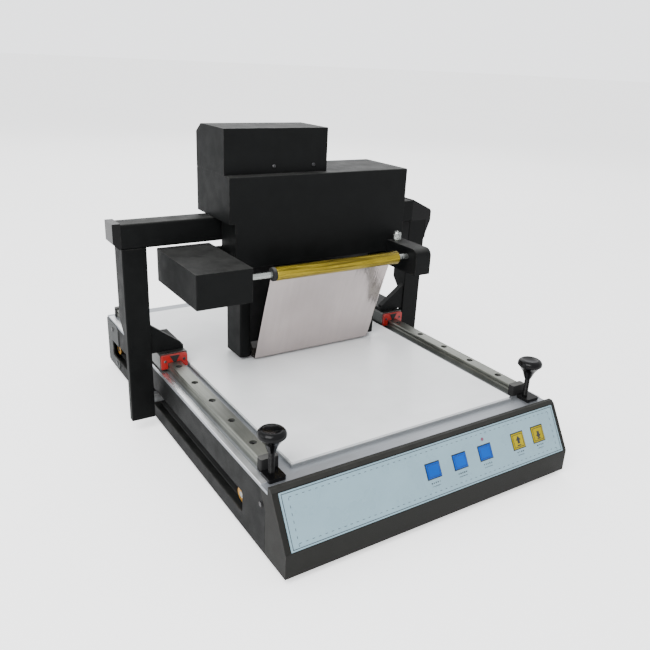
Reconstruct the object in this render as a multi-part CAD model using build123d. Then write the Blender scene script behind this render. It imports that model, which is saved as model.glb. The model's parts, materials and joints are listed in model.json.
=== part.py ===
from build123d import *
import math
import os

# Desktop flatbed hot foil stamper: a sheet-metal base with a platen, two linear guide rails,
# a gantry that runs along them, and a print head with its foil reels that runs along the gantry.
# Millimetres. +Z is up, the operator stands on the -Y side, and the origin is on the table
# under the middle of the machine.

# ---- driving sizes: base ----
base_side_room = 120.0
base_depth = 652.0
foot_height = 8.0
foot_radius = 14.0
sheet = 2.0
deck_underside = 91.0
deck_thickness = 4.0
nose_height = 39.4
slope_run = 34.0
slope_top = 98.0
lip_height = 6.2
lip_width = 5.0
lip_run = 4.0
panel_edge = 6.0
notch_run = 14.5
notch_drop = 24.0
console_depth = 48.5
console_wall = 2.5
joint_gap = 0.5
edge_trim_width = 8.0
edge_trim_thickness = 1.5
end_plate_depth = 62.0
end_plate_thickness = 1.5

# ---- driving sizes: platen ----
platen_side_margin = 46.0
platen_front_margin = 71.4
platen_rear_margin = 37.0
platen_thickness = 4.0
pad_thickness = 2.8
pad_inset = 1.0

# ---- driving sizes: guide rails and bearing blocks ----
rail_inset = 22.5
rail_width = 20.0
rail_height = 14.0
rail_front_margin = 90.0
rail_rear_margin = 17.0
rail_hole_pitch = 60.0
rail_hole_radius = 3.0
rail_sink_radius = 4.75
rail_sink_depth = 6.0
block_width = 42.0
block_height = 28.0
block_length = 65.0
block_underside = 4.6
seal_thickness = 4.0
slide_gap = 0.3
stop_length = 10.0
stop_width = 24.0

# ---- driving sizes: rear panel fittings ----
inlet_x = -165.0
inlet_z = 52.0
inlet_width = 27.0
inlet_height = 23.0
inlet_depth = 22.0
inlet_mouth_width = 22.0
inlet_mouth_height = 17.0
switch_offset = 34.0
rocker_width = 18.8
rocker_height = 10.8
rocker_depth = 5.8
rocker_gap = 0.6
rocker_tilt = 6.0
data_x = -90.0
data_width = 14.0
data_height = 12.0
data_depth = 16.0
data_wall = 2.0
main_board_left = 80.0
main_board_right = 45.0
main_board_depth = 134.0
main_board_rear_gap = 6.0
main_board_inset = 5.0
board_gap = 8.0
board_thickness = 1.6
vent_pitch = 10.0
supply_left = 60.0
supply_front = 60.0
supply_width = 115.0
supply_depth = 160.0
supply_height = 48.0
supply_end = 16.0
supply_wall = 4.0

# ---- driving sizes: gantry ----
gantry_front = 65.0
leg_width = 35.0
leg_gap = 7.0
leg_depth = 34.0
leg_foot_depth = 12.0
leg_foot_bottom = 20.0
leg_step_low = 150.0
leg_step_high = 176.0
beam_bottom = 283.0
beam_height = 35.0
beam_wall = 3.0
cap_thickness = 11.0
cap_chamfer = 8.0
cap_proud = 1.5
end_cover_run = 42.0
end_cover_fall = 20.0
end_cover_drop = 33.0
web_height = 38.0
web_thickness = 10.0
bracket_plate = 6.0
bracket_length = 70.0
block_overhang = 12.0

# ---- driving sizes: gantry belt drive ----
slot_front_margin = 105.0
slot_rear_margin = 26.0
slot_clearance = 4.0
slot_headroom = 6.0
belt_width = 9.0
belt_thickness = 1.5
belt_inset = 12.5
pulley_radius = 8.0
pulley_flange = 1.0
shaft_radius = 4.0
shaft_level = 41.5
idler_margin = 121.0
drive_margin = 36.0
run_gap = 0.05
stand_thickness = 6.0
stand_width = 24.0
stand_offset = 14.0
motor_size = 57.0
motor_length = 56.0

# ---- driving sizes: head ----
cover_left_reach = 44.0
cover_right_reach = 49.0
cover_front = 9.0
cover_rear = 121.0
cover_bottom = 254.0
cover_top = 383.0
cover_step = 9.0
cover_skirt_rear = 55.5
upper_right = 31.0
upper_front = 26.0
upper_top = 445.0
upper_chamfer_run = 17.0
upper_chamfer_drop = 12.0
cover_screw_x = (-57.0, 8.0)
carriage_plate = 6.0
carriage_gap = 2.0
carriage_bottom = 252.0
carriage_left_inset = 13.0
carriage_right_inset = 6.0
cheek_front = 16.0
cheek_bottom = 262.0
cheek_gap = 4.0
shelf_front = 26.0
shelf_reach = 14.0
beam_clearance = 2.5
nut_width = 120.0
head_rail_height = 12.0
head_rail_depth = 7.0
head_rail_end_gap = 23.0
head_rail_drop = 4.0
screw_radius = 4.0
screw_drop = 27.0
screw_lug = 6.0
small_motor = 28.0
small_motor_length = 33.0

# ---- driving sizes: foil reels and arms ----
reel_y = -43.0
reel_z = 258.0
reel_shaft_radius = 4.5
foil_roll_radius = 10.0
foil_width = 212.0
foil_offset = 16.0
arm_front = -66.0
winder_offset = 45.0
winder_width = 80.0
winder_rear = 78.0
winder_bottom = 230.5
winder_top = 278.0
winder_wall = 2.5
winder_motor_radius = 16.0
winder_motor_length = 50.0
winder_motor_gap = 9.0
winder_plug = 7.0
arm_width = 29.0
arm_bottom = 232.0
arm_top = 272.0
arm_nose_radius = 12.0
supply_y = 35.0
supply_z = 280.0
supply_radius = 18.0
supply_spindle_radius = 4.0

# ---- driving sizes: print head ----
head_plate_front = 29.0
head_plate_rear = 77.0
head_plate_thickness = 17.0
head_plate_gap = 1.0
right_plate_gap = 2.0
rod_offset = 11.05
head_plate_top = 250.0
head_plate_shoulder = 243.0
head_lift_gap = 4.2
block_front = 29.0
block_rear = 50.0
block_foot_gap = 6.0
fin_count = 10
fin_start = 30.0
fin_pitch = 10.0
fin_gap = 5.0
fin_depth = 8.0
fin_margin = 8.0
bar_front = 20.0
bar_height = 14.0
film_thickness = 0.4
film_gap = 1.7
film_bottom_gap = 0.4
film_front = 18.0
rod_radius = 4.0
rod_top = 330.0
lift_motor_size = 24.0
lift_motor_height = 48.0
shelf_level = 300.0
shelf_thickness = 8.0
cheek_thickness = 4.0

# ---- driving sizes: controls ----
key_width = 20.6
blue_key_height = 17.6
yellow_key_height = 20.0
key_level = 33.0
blue_key_x = (-9.0, 35.3, 79.6)
yellow_key_x = (140.4, 179.0)
key_gap = 0.3
key_proud = 1.0
overlay_thickness = 1.0
overlay_margin = 1.5
led_radius = 2.0
led_level = 16.0
led_gap = 0.2
led_proud = 0.6
key_stem_reach = 2.0
key_board_drop = 6.5
key_board_x = 85.0
key_board_width = 250.0
key_board_height = 34.0
knob_side_margin = 19.2
knob_front_margin = 70.5
knob_head_radius = 18.0
knob_head_height = 17.0
knob_head_bottom = 137.5
knob_neck_radius = 9.5
knob_neck_height = 12.0
knob_stem_radius = 3.75
knob_block_size = 22.0
knob_block_height = 5.0
knob_block_shift = 5.0

# ---- places worked out from the driving sizes ----
board_level = foot_height + sheet + board_gap
data_top = board_level + board_thickness + data_height
switch_x = inlet_x + switch_offset
base_width = foil_width + 2 * base_side_room
half_width = base_width / 2
front = -base_depth / 2
rear = base_depth / 2
deck_top = deck_underside + deck_thickness
pad_top = deck_top + platen_thickness + pad_thickness
side_inner = half_width - sheet
platen_width = base_width - 2 * platen_side_margin
knob_x = half_width - knob_side_margin
knob_y = front + knob_front_margin
slot_front = front + slot_front_margin
slot_rear = rear - slot_rear_margin
slot_bottom = shaft_level - pulley_radius - belt_thickness - slot_clearance
slot_height = 2 * (pulley_radius + belt_thickness) + slot_clearance + slot_headroom
idler_y = front + idler_margin
drive_y = rear - drive_margin
tray_front = front + console_depth
lip_back = front + slope_run + lip_run + lip_width
slope_angle = math.atan2(slope_top - nose_height, slope_run)
rail_x = half_width - rail_inset
rail_top = deck_top + rail_height
rail_front = front + rail_front_margin
rail_rear = rear - rail_rear_margin
block_top = deck_top + block_height
block_front_y = gantry_front - block_overhang
leg_inner = half_width + leg_gap
leg_outer = leg_inner + leg_width
beam_top = beam_bottom + beam_height
beam_rear = gantry_front + leg_depth
end_cover_start = leg_outer + cap_thickness - end_cover_run
foil_left = foil_offset - foil_width / 2
foil_right = foil_left + foil_width
cover_left = foil_left - cover_left_reach
cover_right = foil_right + cover_right_reach
winder_right = foil_left - winder_offset
winder_left = winder_right - winder_width
plate_bottom = pad_top + head_lift_gap
left_plate_inner = foil_left - head_plate_gap
right_plate_inner = foil_right + right_plate_gap
belt_x = half_width - belt_inset
screw_y = beam_rear + small_motor / 2
screw_z = beam_top - screw_drop
arm_left = cover_right - arm_width
rod_y = (block_front + block_rear) / 2
left_rod_x = left_plate_inner - rod_offset
right_rod_x = right_plate_inner + rod_offset
head_rail_length = 2 * (leg_inner - head_rail_end_gap)
head_rail_top = beam_top - head_rail_drop
head_rail_bottom = head_rail_top - head_rail_height


def box(x0, x1, y0, y1, z0, z1):
    """A box from its low and high corners."""
    middle = ((x0 + x1) / 2, (y0 + y1) / 2, (z0 + z1) / 2)
    return Pos(*middle) * Box(abs(x1 - x0), abs(y1 - y0), abs(z1 - z0))


def rod_x(x0, x1, y, z, radius):
    """A cylinder along X."""
    return Pos((x0 + x1) / 2, y, z) * Rot(0, 90, 0) * Cylinder(radius, abs(x1 - x0))


def rod_z(x, y, z0, z1, radius):
    """A cylinder along Z."""
    return Pos(x, y, (z0 + z1) / 2) * Cylinder(radius, abs(z1 - z0))


def side_profile(points, x0, x1):
    """A prism along X whose outline is a list of (y, z) points."""
    outline = Plane.YZ * make_face(Polyline(*points, close=True))
    return Pos(x0, 0, 0) * extrude(outline, x1 - x0, dir=(1, 0, 0))


def front_profile(points, y0, y1):
    """A prism along Y whose outline is a list of (x, z) points."""
    outline = Plane.XZ * make_face(Polyline(*points, close=True))
    return Pos(0, y0, 0) * extrude(outline, y1 - y0, dir=(0, 1, 0))


def mirrored(shape):
    """The same shape on the other side of the machine."""
    return mirror(shape, Plane.YZ)


def pair(shape):
    """A shape and its mirror image, as a list of separate solids."""
    return [shape, mirrored(shape)]


def slope_plane():
    """The plane of the control panel: X across, Y up the slope, Z out of the panel."""
    normal = (0, -math.sin(slope_angle), math.cos(slope_angle))
    return Plane(origin=(0, front + slope_run, slope_top), x_dir=(1, 0, 0), z_dir=normal)


def on_slope(x, down, depth, width, height, thickness):
    """A box on the control panel; depth is how far its underside is above the panel's sheet."""
    return slope_plane() * Pos(x, -down, depth + thickness / 2) * Box(width, height, thickness)


# ---- base: casings and frame ----
def make_console_housing():
    """Bent-sheet console: nose, sloping control panel, raised lip, two cheeks and a floor."""
    back = tray_front - joint_gap
    cheek_top = deck_underside
    outline = [
        (front, foot_height),
        (front, nose_height),
        (front + slope_run, slope_top),
        (lip_back - lip_width, deck_top + lip_height),
        (lip_back, deck_top + lip_height),
        (lip_back, cheek_top),
        (back + notch_run, cheek_top),
        (back, cheek_top - notch_drop),
        (back, foot_height),
    ]
    body = side_profile(outline, -half_width, half_width)
    wall = console_wall
    run = wall / math.sin(slope_angle)
    hollow = side_profile([
        (front + wall, foot_height + wall),
        (front + wall, nose_height - wall * math.tan((math.pi / 2 - slope_angle) / 2)),
        (front + slope_run + run - (slope_top - cheek_top + wall) / math.tan(slope_angle), cheek_top - wall),
        (back + 20, cheek_top - wall),
        (back + 20, foot_height + wall),
    ], -half_width + wall, half_width - wall)
    body -= hollow
    body -= box(-half_width + wall, half_width - wall, back - 4, back + 20,
                foot_height + wall, cheek_top + 1)
    for x, height in key_places():
        body -= on_slope(x, key_level, -10, key_width + 2 * key_gap, height + 2 * key_gap, 20)
    body -= slope_plane() * Pos(blue_key_x[2], -led_level, 0) * Cylinder(led_radius + led_gap, 20)
    return body


def key_places():
    """Each key's place across the panel and its height, left to right."""
    return [(x, blue_key_height) for x in blue_key_x] + [(x, yellow_key_height) for x in yellow_key_x]


def make_control_overlay():
    """Printed membrane over the sloping panel, with a window for each key and the lamp."""
    slope_length = slope_run / math.cos(slope_angle)
    sheet_height = slope_length - 2 * overlay_margin
    width = base_width - 2 * (panel_edge + overlay_margin)
    body = on_slope(0, slope_length / 2, 0, width, sheet_height, overlay_thickness)
    for x, height in key_places():
        body -= on_slope(x, key_level, -1, key_width + 2 * key_gap, height + 2 * key_gap, 5)
    body -= slope_plane() * Pos(blue_key_x[2], -led_level, 0) * Cylinder(led_radius + led_gap, 20)
    return body


def make_key(x, height):
    """A key cap with a stem that reaches in to its switch."""
    stem = on_slope(x, key_level, -console_wall - key_stem_reach, key_width * 0.5, height * 0.5,
                    2 * key_stem_reach)
    cap_depth = console_wall + overlay_thickness + key_proud
    cap = on_slope(x, key_level, -console_wall, key_width, height, cap_depth)
    return cap + stem


def make_power_led():
    """Small indicator lamp above the right-hand blue key."""
    depth = console_wall + overlay_thickness + led_proud
    place = Pos(blue_key_x[2], -led_level, depth / 2 - console_wall)
    return slope_plane() * place * Cylinder(led_radius, depth)


def make_circuit_boards():
    """The key board behind the panel, with a switch under each key, and the main board."""
    board_depth = -console_wall - key_board_drop
    board = on_slope(key_board_x, key_level - 1, board_depth, key_board_width, key_board_height,
                     board_thickness)
    for x, height in key_places():
        board += on_slope(x, key_level, board_depth + board_thickness, 6, 6, 2.0)
    lamp_post = on_slope(blue_key_x[2], led_level, board_depth, 3, 3, -console_wall - board_depth)
    board += lamp_post
    x0, x1 = data_x - main_board_left, data_x + main_board_right
    y1 = rear - main_board_rear_gap
    y0 = y1 - main_board_depth
    top = board_level + board_thickness
    main = box(x0, x1, y0, y1, board_level, top)
    for x in (x0 + main_board_inset, x1 - main_board_inset):
        for y in (y0 + main_board_inset, y1 - main_board_inset):
            main += rod_z(x, y, foot_height + sheet, board_level + 0.2, 3)
    for index in range(4):
        x = x0 + 20 + index * 26
        main += box(x - 8, x + 8, y0 + 20, y0 + 40, top, top + 15)
    main += box(x0 + 40, x0 + 80, y0 + 52, y0 + 82, top, top + 6)
    half = data_width / 2
    main += box(data_x - half, data_x + half, rear - data_depth, rear, top - 0.8, data_top)
    mouth = half - data_wall
    main -= box(data_x - mouth, data_x + mouth, rear - 10, rear + 1, top + data_wall, data_top - data_wall)
    return [board, main]


def make_base_tray():
    """Folded bottom tray: floor, a front upstand and two low side flanges."""
    floor = foot_height + sheet
    body = box(-half_width, half_width, tray_front, rear, foot_height, floor)
    body += box(-side_inner, side_inner, tray_front, tray_front + sheet, floor, floor + 30)
    for side in (-1, 1):
        inner = side * (side_inner - 1.5)
        body += box(side * side_inner, inner, tray_front, rear - sheet, floor, slot_bottom - 4)
    return body


def make_side_panels():
    """The two side walls, each with the long slot that the gantry's belt clamp runs in."""
    floor = foot_height + sheet
    outline = [
        (tray_front, floor),
        (tray_front, deck_underside - notch_drop),
        (tray_front + notch_run, deck_underside),
        (rear, deck_underside),
        (rear, floor),
    ]
    wall = side_profile(outline, -half_width, -side_inner)
    slot = box(-half_width - 5, -side_inner + 5, slot_front, slot_rear,
               slot_bottom, slot_bottom + slot_height)
    slot = fillet(slot.edges().filter_by(Axis.X), 4)
    return pair(wall - slot)


def make_rear_panel():
    """Rear wall with openings for the mains inlet and the data socket, and vent slots."""
    floor = foot_height + sheet
    body = box(-side_inner, side_inner, rear - sheet, rear, floor, deck_underside)
    x0, x1, z0, z1 = inlet_outline(0.5)
    body -= box(x0, x1, rear - 5, rear + 5, z0, z1)
    half = data_width / 2 + 0.5
    body -= box(data_x - half, data_x + half, rear - 5, rear + 5, board_level, data_top + 0.5)
    for index in range(9):
        x = 110 + index * vent_pitch
        body -= box(x - 2, x + 2, rear - 5, rear + 5, inlet_z - 18, inlet_z + 18)
    return body


def inlet_outline(gap):
    """Low and high X and Z of the mains inlet's body, with a gap added all round."""
    x0 = inlet_x - inlet_width / 2 - gap
    x1 = switch_x + rocker_width / 2 + 4 + gap
    return x0, x1, inlet_z - inlet_height / 2 - gap, inlet_z + inlet_height / 2 + gap


def make_power_inlet():
    """Moulded mains inlet: a three-pin socket beside the frame of the rocker switch."""
    x0, x1, z0, z1 = inlet_outline(0)
    body = box(x0, x1, rear - inlet_depth, rear, z0, z1)
    half_mouth, half_tall = inlet_mouth_width / 2, inlet_mouth_height / 2
    body -= box(inlet_x - half_mouth, inlet_x + half_mouth, rear - 16, rear + 3,
                inlet_z - half_tall, inlet_z + half_tall)
    half_wide = rocker_width / 2 + rocker_gap
    half_high = rocker_height / 2 + 0.4
    body -= box(switch_x - half_wide, switch_x + half_wide, rear - 9, rear + 3,
                inlet_z - half_high, inlet_z + half_high)
    for x, z in ((-6, -2), (6, -2), (0, 3)):
        body += box(inlet_x + x - 1, inlet_x + x + 1, rear - 17, rear - 5, inlet_z + z - 2, inlet_z + z + 2)
    return body


def make_power_switch():
    """Rocker of the mains switch, lying at its off end, turned about its own pin."""
    rocker = Pos(0, -0.1, 0) * Box(rocker_width, rocker_depth, rocker_height)
    rocker -= Pos(0, 31.3, 0) * Cylinder(30, rocker_height + 4)
    rocker += Cylinder(1.2, rocker_height + 0.6)
    return Pos(switch_x, rear - 4, inlet_z) * Rot(0, 0, -rocker_tilt) * rocker


def make_deck_plate():
    """Top deck of the base, which carries the rails and the platen."""
    return box(-half_width, half_width, lip_back + joint_gap, rear, deck_underside, deck_top)


def make_platen():
    """Aluminium platen plate."""
    return box(-platen_width / 2, platen_width / 2, front + platen_front_margin,
               rear - platen_rear_margin, deck_top, deck_top + platen_thickness)


def make_platen_pad():
    """White silicone pad on the platen."""
    half = platen_width / 2 - pad_inset
    body = box(-half, half, front + platen_front_margin + pad_inset,
               rear - platen_rear_margin - pad_inset, deck_top + platen_thickness, pad_top)
    return fillet(body.edges().filter_by(Axis.Z), 3)


def rail_hole_places():
    """Y of each rail screw."""
    length = rail_rear - rail_front
    count = int(length // rail_hole_pitch)
    start = rail_front + (length - (count - 1) * rail_hole_pitch) / 2
    return [start + index * rail_hole_pitch for index in range(count)]


def make_rail():
    """Left guide rail: waisted section with counterbored screw holes."""
    waist = rail_width / 2 - 2.5
    half = rail_width / 2
    low, high = deck_top + rail_height * 0.45, deck_top + rail_height * 0.72
    section = [
        (-half, deck_top), (half, deck_top), (half, low), (waist, low + 2), (waist, high - 1),
        (half, high + 1), (half, rail_top - 1), (half - 1, rail_top), (1 - half, rail_top),
        (-half, rail_top - 1), (-half, high + 1), (-waist, high - 1), (-waist, low + 2), (-half, low),
    ]
    body = Pos(-rail_x, 0, 0) * front_profile(section, rail_front, rail_rear)
    for y in rail_hole_places():
        body -= rod_z(-rail_x, y, deck_top - 1, rail_top + 1, rail_hole_radius)
        body -= rod_z(-rail_x, y, rail_top - rail_sink_depth, rail_top + 1, rail_sink_radius)
    return body


def cap_screw(x, y, z, head_radius, head_height, length):
    """Socket cap screw standing upright with its head's underside at z."""
    body = rod_z(x, y, z, z + head_height, head_radius)
    body += rod_z(x, y, z - length, z, head_radius * 0.6)
    socket = Pos(x, y, z + head_height) * extrude(RegularPolygon(head_radius * 0.5, 6), -head_height * 0.5)
    return body - socket


def make_base_screws():
    """Rail screws, and the countersunk screws on the base's sides."""
    screws = []
    for side in (-1, 1):
        for y in rail_hole_places():
            sink = rail_top - rail_sink_depth
            length = rail_height - rail_sink_depth
            screws.append(cap_screw(side * rail_x, y, sink, rail_sink_radius - 0.6, 4.0, length))
        outside = side * (half_width + end_plate_thickness)
        for y, z in ((rear - 32, deck_underside - 12), (rear - 50, foot_height + 14)):
            screws.append(rod_x(outside, outside + side * 1.5, y, z, 3.5))
        screws.append(rod_x(side * half_width, side * (half_width + 1.5), tray_front + 9, 70.7, 3.0))
    return screws


def make_rail_stops():
    """Rubber bumpers in front of and behind each rail."""
    stops = []
    for side in (-1, 1):
        for y0, y1 in ((rail_front - stop_length, rail_front), (rail_rear, rail_rear + stop_length)):
            stop = box(side * rail_x - stop_width / 2, side * rail_x + stop_width / 2,
                       y0, y1, deck_top, rail_top + 2)
            stops.append(fillet(stop.edges().filter_by(Axis.Z), 2.5))
    return stops


def make_knob_block():
    """Left corner block that the clamping screw stands in."""
    half = knob_block_size / 2
    middle = knob_y - knob_block_shift
    body = box(-knob_x - half, -knob_x + half, middle - half, middle + half,
               deck_top, deck_top + knob_block_height)
    body = fillet(body.edges().filter_by(Axis.Z), 2)
    return body - rod_z(-knob_x, knob_y, deck_top + 0.8, deck_top + 20, knob_stem_radius + run_gap)


def make_knob(side):
    """Clamping screw: domed head, neck and threaded stem."""
    x = side * knob_x
    stem_bottom = deck_top + 1.0
    top = knob_head_bottom + knob_head_height
    outline = [
        (0, stem_bottom), (knob_stem_radius, stem_bottom),
        (knob_stem_radius, knob_head_bottom - knob_neck_height),
        (knob_neck_radius - 1, knob_head_bottom - knob_neck_height),
        (knob_neck_radius, knob_head_bottom - knob_neck_height + 1),
        (knob_neck_radius, knob_head_bottom),
        (knob_head_radius - 2.5, knob_head_bottom),
        (knob_head_radius, knob_head_bottom + 2.5),
        (knob_head_radius, top - 5),
        (knob_head_radius - 5, top),
        (0, top),
    ]
    body = revolve(Plane.XZ * make_face(Polyline(*outline, close=True)), Axis.Z)
    return Pos(x, knob_y, 0) * body


def make_edge_trim():
    """Left bright strip along the deck's edge."""
    y0 = front + 59
    return box(-half_width, -half_width + edge_trim_width, y0, rear - 11,
               deck_top, deck_top + edge_trim_thickness)


def make_rear_end_plate():
    """Left plate over the rear end of the side wall."""
    body = box(-half_width - end_plate_thickness, -half_width, rear - end_plate_depth, rear,
               foot_height + 4, deck_underside + 1)
    corners = body.edges().filter_by(Axis.X).sort_by(Axis.Y)[:2]
    body = chamfer(corners, 6)
    behind_slot = box(-half_width - 5, -half_width + 5, rear - end_plate_depth - 1, slot_rear,
                      slot_bottom, slot_bottom + slot_height)
    return body - behind_slot


def make_rubber_feet():
    """Four rubber feet under the tray."""
    feet = []
    for x in (-half_width + 30, half_width - 30):
        for y in (tray_front + 24, rear - 32):
            foot = Pos(x, y, foot_height / 2) * Cone(foot_radius - 2, foot_radius, foot_height)
            feet.append(foot)
    return feet


def make_power_supply():
    """Perforated-case switching supply on the tray's floor."""
    floor = foot_height + sheet
    x0, x1 = supply_left, supply_left + supply_width
    y0, y1 = supply_front, supply_front + supply_depth
    top = floor + supply_height
    terminals = y1 - supply_end
    body = box(x0, x1, y0, y1, floor, top)
    body -= box(x0 + supply_wall, x1 - supply_wall, y0 + supply_wall, terminals, floor + sheet, top - sheet)
    body -= box(x0, x1, terminals, y1 + 1, floor + 18, top + 1)
    for index in range(12):
        y = y0 + 14 + index * vent_pitch
        body -= box(x0 + 15, x1 - 15, y - 2, y + 2, top - 8, top + 2)
    return body


def make_gantry_motor():
    """Double-shaft stepper in the middle of the drive shaft, on its own foot plate."""
    half = motor_size / 2
    low = shaft_level - half
    body = box(-motor_length / 2, motor_length / 2, drive_y - half, drive_y + half, low, low + motor_size)
    body = chamfer(body.edges().filter_by(Axis.X), 4)
    body += box(-20, 20, drive_y - 20, drive_y + 20, foot_height + sheet, low + 1)
    return body - rod_x(-60, 60, drive_y, shaft_level, shaft_radius + 0.3)


def make_gantry_belt():
    """Left toothed-belt loop round the idler and drive pulleys."""
    outer = SlotCenterToCenter(drive_y - idler_y, 2 * (pulley_radius + belt_thickness))
    inner = SlotCenterToCenter(drive_y - idler_y, 2 * pulley_radius)
    loop = extrude(outer - inner, belt_width / 2, both=True)
    middle = (idler_y + drive_y) / 2
    return Pos(-belt_x, middle, shaft_level) * Rot(0, 90, 0) * Rot(0, 0, 90) * loop


def make_bearing_stands():
    """Bearing stands under the ends of the drive shaft and the idler shaft."""
    stands = []
    floor = foot_height + sheet
    x1 = belt_x - stand_offset
    for y in (idler_y, drive_y):
        stand = box(-x1, -x1 + stand_thickness, y - stand_width / 2, y + stand_width / 2,
                    floor, shaft_level + 10)
        stand += box(-x1, -x1 + 16, y - stand_width / 2, y + stand_width / 2, floor, floor + 4)
        stand -= rod_x(-x1 - 5, -x1 + 25, y, shaft_level, shaft_radius + run_gap)
        stands += pair(stand)
    return stands


def make_cross_shaft(y):
    """Plain steel shaft from one belt to the other."""
    reach = belt_x + belt_width / 2 + 2
    return rod_x(-reach, reach, y, shaft_level, shaft_radius)


def make_pulleys(y):
    """A flanged belt pulley on each end of a cross shaft."""
    half = belt_width / 2 + 0.5
    hub = rod_x(-belt_x - half, -belt_x + half, y, shaft_level, pulley_radius - run_gap)
    for x in (-belt_x - half - pulley_flange, -belt_x + half):
        hub += rod_x(x, x + pulley_flange, y, shaft_level, pulley_radius + 2)
    hub -= rod_x(-belt_x - 20, -belt_x + 20, y, shaft_level, shaft_radius)
    return pair(hub)


# ---- gantry ----
def make_leg():
    """Left upright: a thin foot outside the base, and a deep box above it."""
    outline = [
        (gantry_front, leg_foot_bottom),
        (gantry_front, beam_bottom),
        (beam_rear, beam_bottom),
        (beam_rear, leg_step_high),
        (gantry_front + leg_foot_depth, leg_step_low),
        (gantry_front + leg_foot_depth, leg_foot_bottom),
    ]
    body = side_profile(outline, -leg_outer, -leg_inner)
    return fillet(body.edges().filter_by(Axis.Z), 1.5)


def make_crossbeam():
    """Hollow beam across the legs, with a lug behind it for the head's drive screw."""
    body = box(-leg_outer, end_cover_start, gantry_front, beam_rear, beam_bottom, beam_top)
    body = fillet(body.edges().filter_by(Axis.X), 3)
    body -= box(-leg_outer - 1, leg_outer + 1, gantry_front + beam_wall, beam_rear - beam_wall,
                beam_bottom + beam_wall, beam_top - beam_wall)
    lug_left = -leg_inner + 2
    lug = box(lug_left, lug_left + screw_lug, beam_rear - 1, screw_y + 9, screw_z - 9, screw_z + 9)
    body += lug
    return body - rod_x(lug_left - 1, lug_left + screw_lug + 1, screw_y, screw_z, screw_radius + run_gap)


def make_beam_end_cap():
    """Cap on the left end of the crossbeam, with its lower outer edge cut away."""
    outer = -leg_outer - cap_thickness
    outline = [
        (-leg_outer, beam_bottom + 1), (outer + cap_chamfer, beam_bottom + 1),
        (outer, beam_bottom + 1 + cap_chamfer), (outer, beam_top + cap_proud),
        (-leg_outer, beam_top + cap_proud),
    ]
    return front_profile(outline, gantry_front, beam_rear)


def make_right_end_cover():
    """Hood over the right end of the crossbeam: its top slopes down, its outer side curves in."""
    outer = leg_outer + cap_thickness
    low = beam_bottom - end_cover_drop
    shoulder = beam_top - end_cover_fall + 3
    outline = [
        (end_cover_start, beam_bottom), (end_cover_start, beam_top + cap_proud), (outer - 3, shoulder),
        (outer, shoulder - 4), (outer, shoulder - 20), (outer - 4, shoulder - 30),
        (leg_outer + 2.5, shoulder - 42), (leg_outer + 1.5, low), (leg_outer, low),
        (leg_outer, beam_bottom),
    ]
    return front_profile(outline, gantry_front, beam_rear)


def make_leg_bracket():
    """Left bracket from the upright to the top of its bearing block, with a gusset web."""
    block_inner = -rail_x + block_width / 2
    bracket_top = block_top + bracket_plate
    body = box(-leg_inner, block_inner - 2, gantry_front + 2, gantry_front + 2 + bracket_length,
               block_top, bracket_top)
    web = [
        (-leg_inner, bracket_top - 1), (block_inner - 5, bracket_top - 1),
        (block_inner - 5, bracket_top + 4), (-leg_inner, bracket_top + web_height),
    ]
    body += front_profile(web, gantry_front + 2, gantry_front + 2 + web_thickness)
    return body


def rail_cut(y0, y1, extra):
    """The space that the left rail takes in a block or a seal."""
    half = rail_width / 2 + extra
    return box(-rail_x - half, -rail_x + half, y0, y1, deck_top - 1, rail_top + extra)


def make_bearing_block():
    """Left recirculating-ball block over the rail."""
    half = block_width / 2
    y0 = block_front_y + seal_thickness
    body = box(-rail_x - half, -rail_x + half, y0, y0 + block_length, deck_top + block_underside, block_top)
    body = chamfer(body.edges().filter_by(Axis.Y).group_by(Axis.Z)[-1], 1.5)
    return body - rail_cut(y0 - 1, y0 + block_length + 1, slide_gap)


def make_end_seals():
    """Seals on both ends of the left bearing block."""
    half = block_width / 2 - 1
    seals = []
    low, high = deck_top + block_underside + 0.5, block_top - 2
    for y0 in (block_front_y, block_front_y + seal_thickness + block_length):
        seal = box(-rail_x - half, -rail_x + half, y0, y0 + seal_thickness, low, high)
        seal = fillet(seal.edges().filter_by(Axis.Y).group_by(Axis.Z)[-1], 3)
        seals.append(seal - rail_cut(y0 - 1, y0 + seal_thickness + 1, slide_gap + 0.2))
    return seals


def make_belt_clamp():
    """Left clamp from the upright's foot, through the side wall's slot, to the belt's upper run."""
    belt_top = shaft_level + pulley_radius + belt_thickness
    y0, y1 = gantry_front, gantry_front + leg_foot_depth
    outer = -belt_x - belt_width / 2 - 1
    body = box(-leg_inner, outer, y0, y1, belt_top - 7, belt_top + 5)
    body += box(outer - 1, -belt_x + belt_width / 2, y0, y1, belt_top + 0.5, belt_top + 5)
    body += box(outer - 1, -belt_x + belt_width / 2, y0, y1, belt_top - 7, belt_top - belt_thickness - 0.5)
    return body


def make_head_rail():
    """Small guide rail on the back of the crossbeam."""
    half = head_rail_length / 2
    return box(-half, half, beam_rear, beam_rear + head_rail_depth,
               head_rail_bottom, head_rail_top)


def make_head_motor():
    """Small stepper behind the right end of the crossbeam."""
    x0 = head_rail_length / 2 - 5
    half = small_motor / 2
    body = box(x0, x0 + small_motor_length, screw_y - half, screw_y + half,
               screw_z - half - 2, screw_z + half - 4)
    body = chamfer(body.edges().filter_by(Axis.X), 2.5)
    return body - rod_x(x0 - 1, x0 + 9, screw_y, screw_z, screw_radius + 0.3)


def make_head_screw():
    """Drive screw along the back of the crossbeam."""
    x0 = -leg_inner + 1
    return rod_x(x0, head_rail_length / 2 + 2, screw_y, screw_z, screw_radius)


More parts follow.
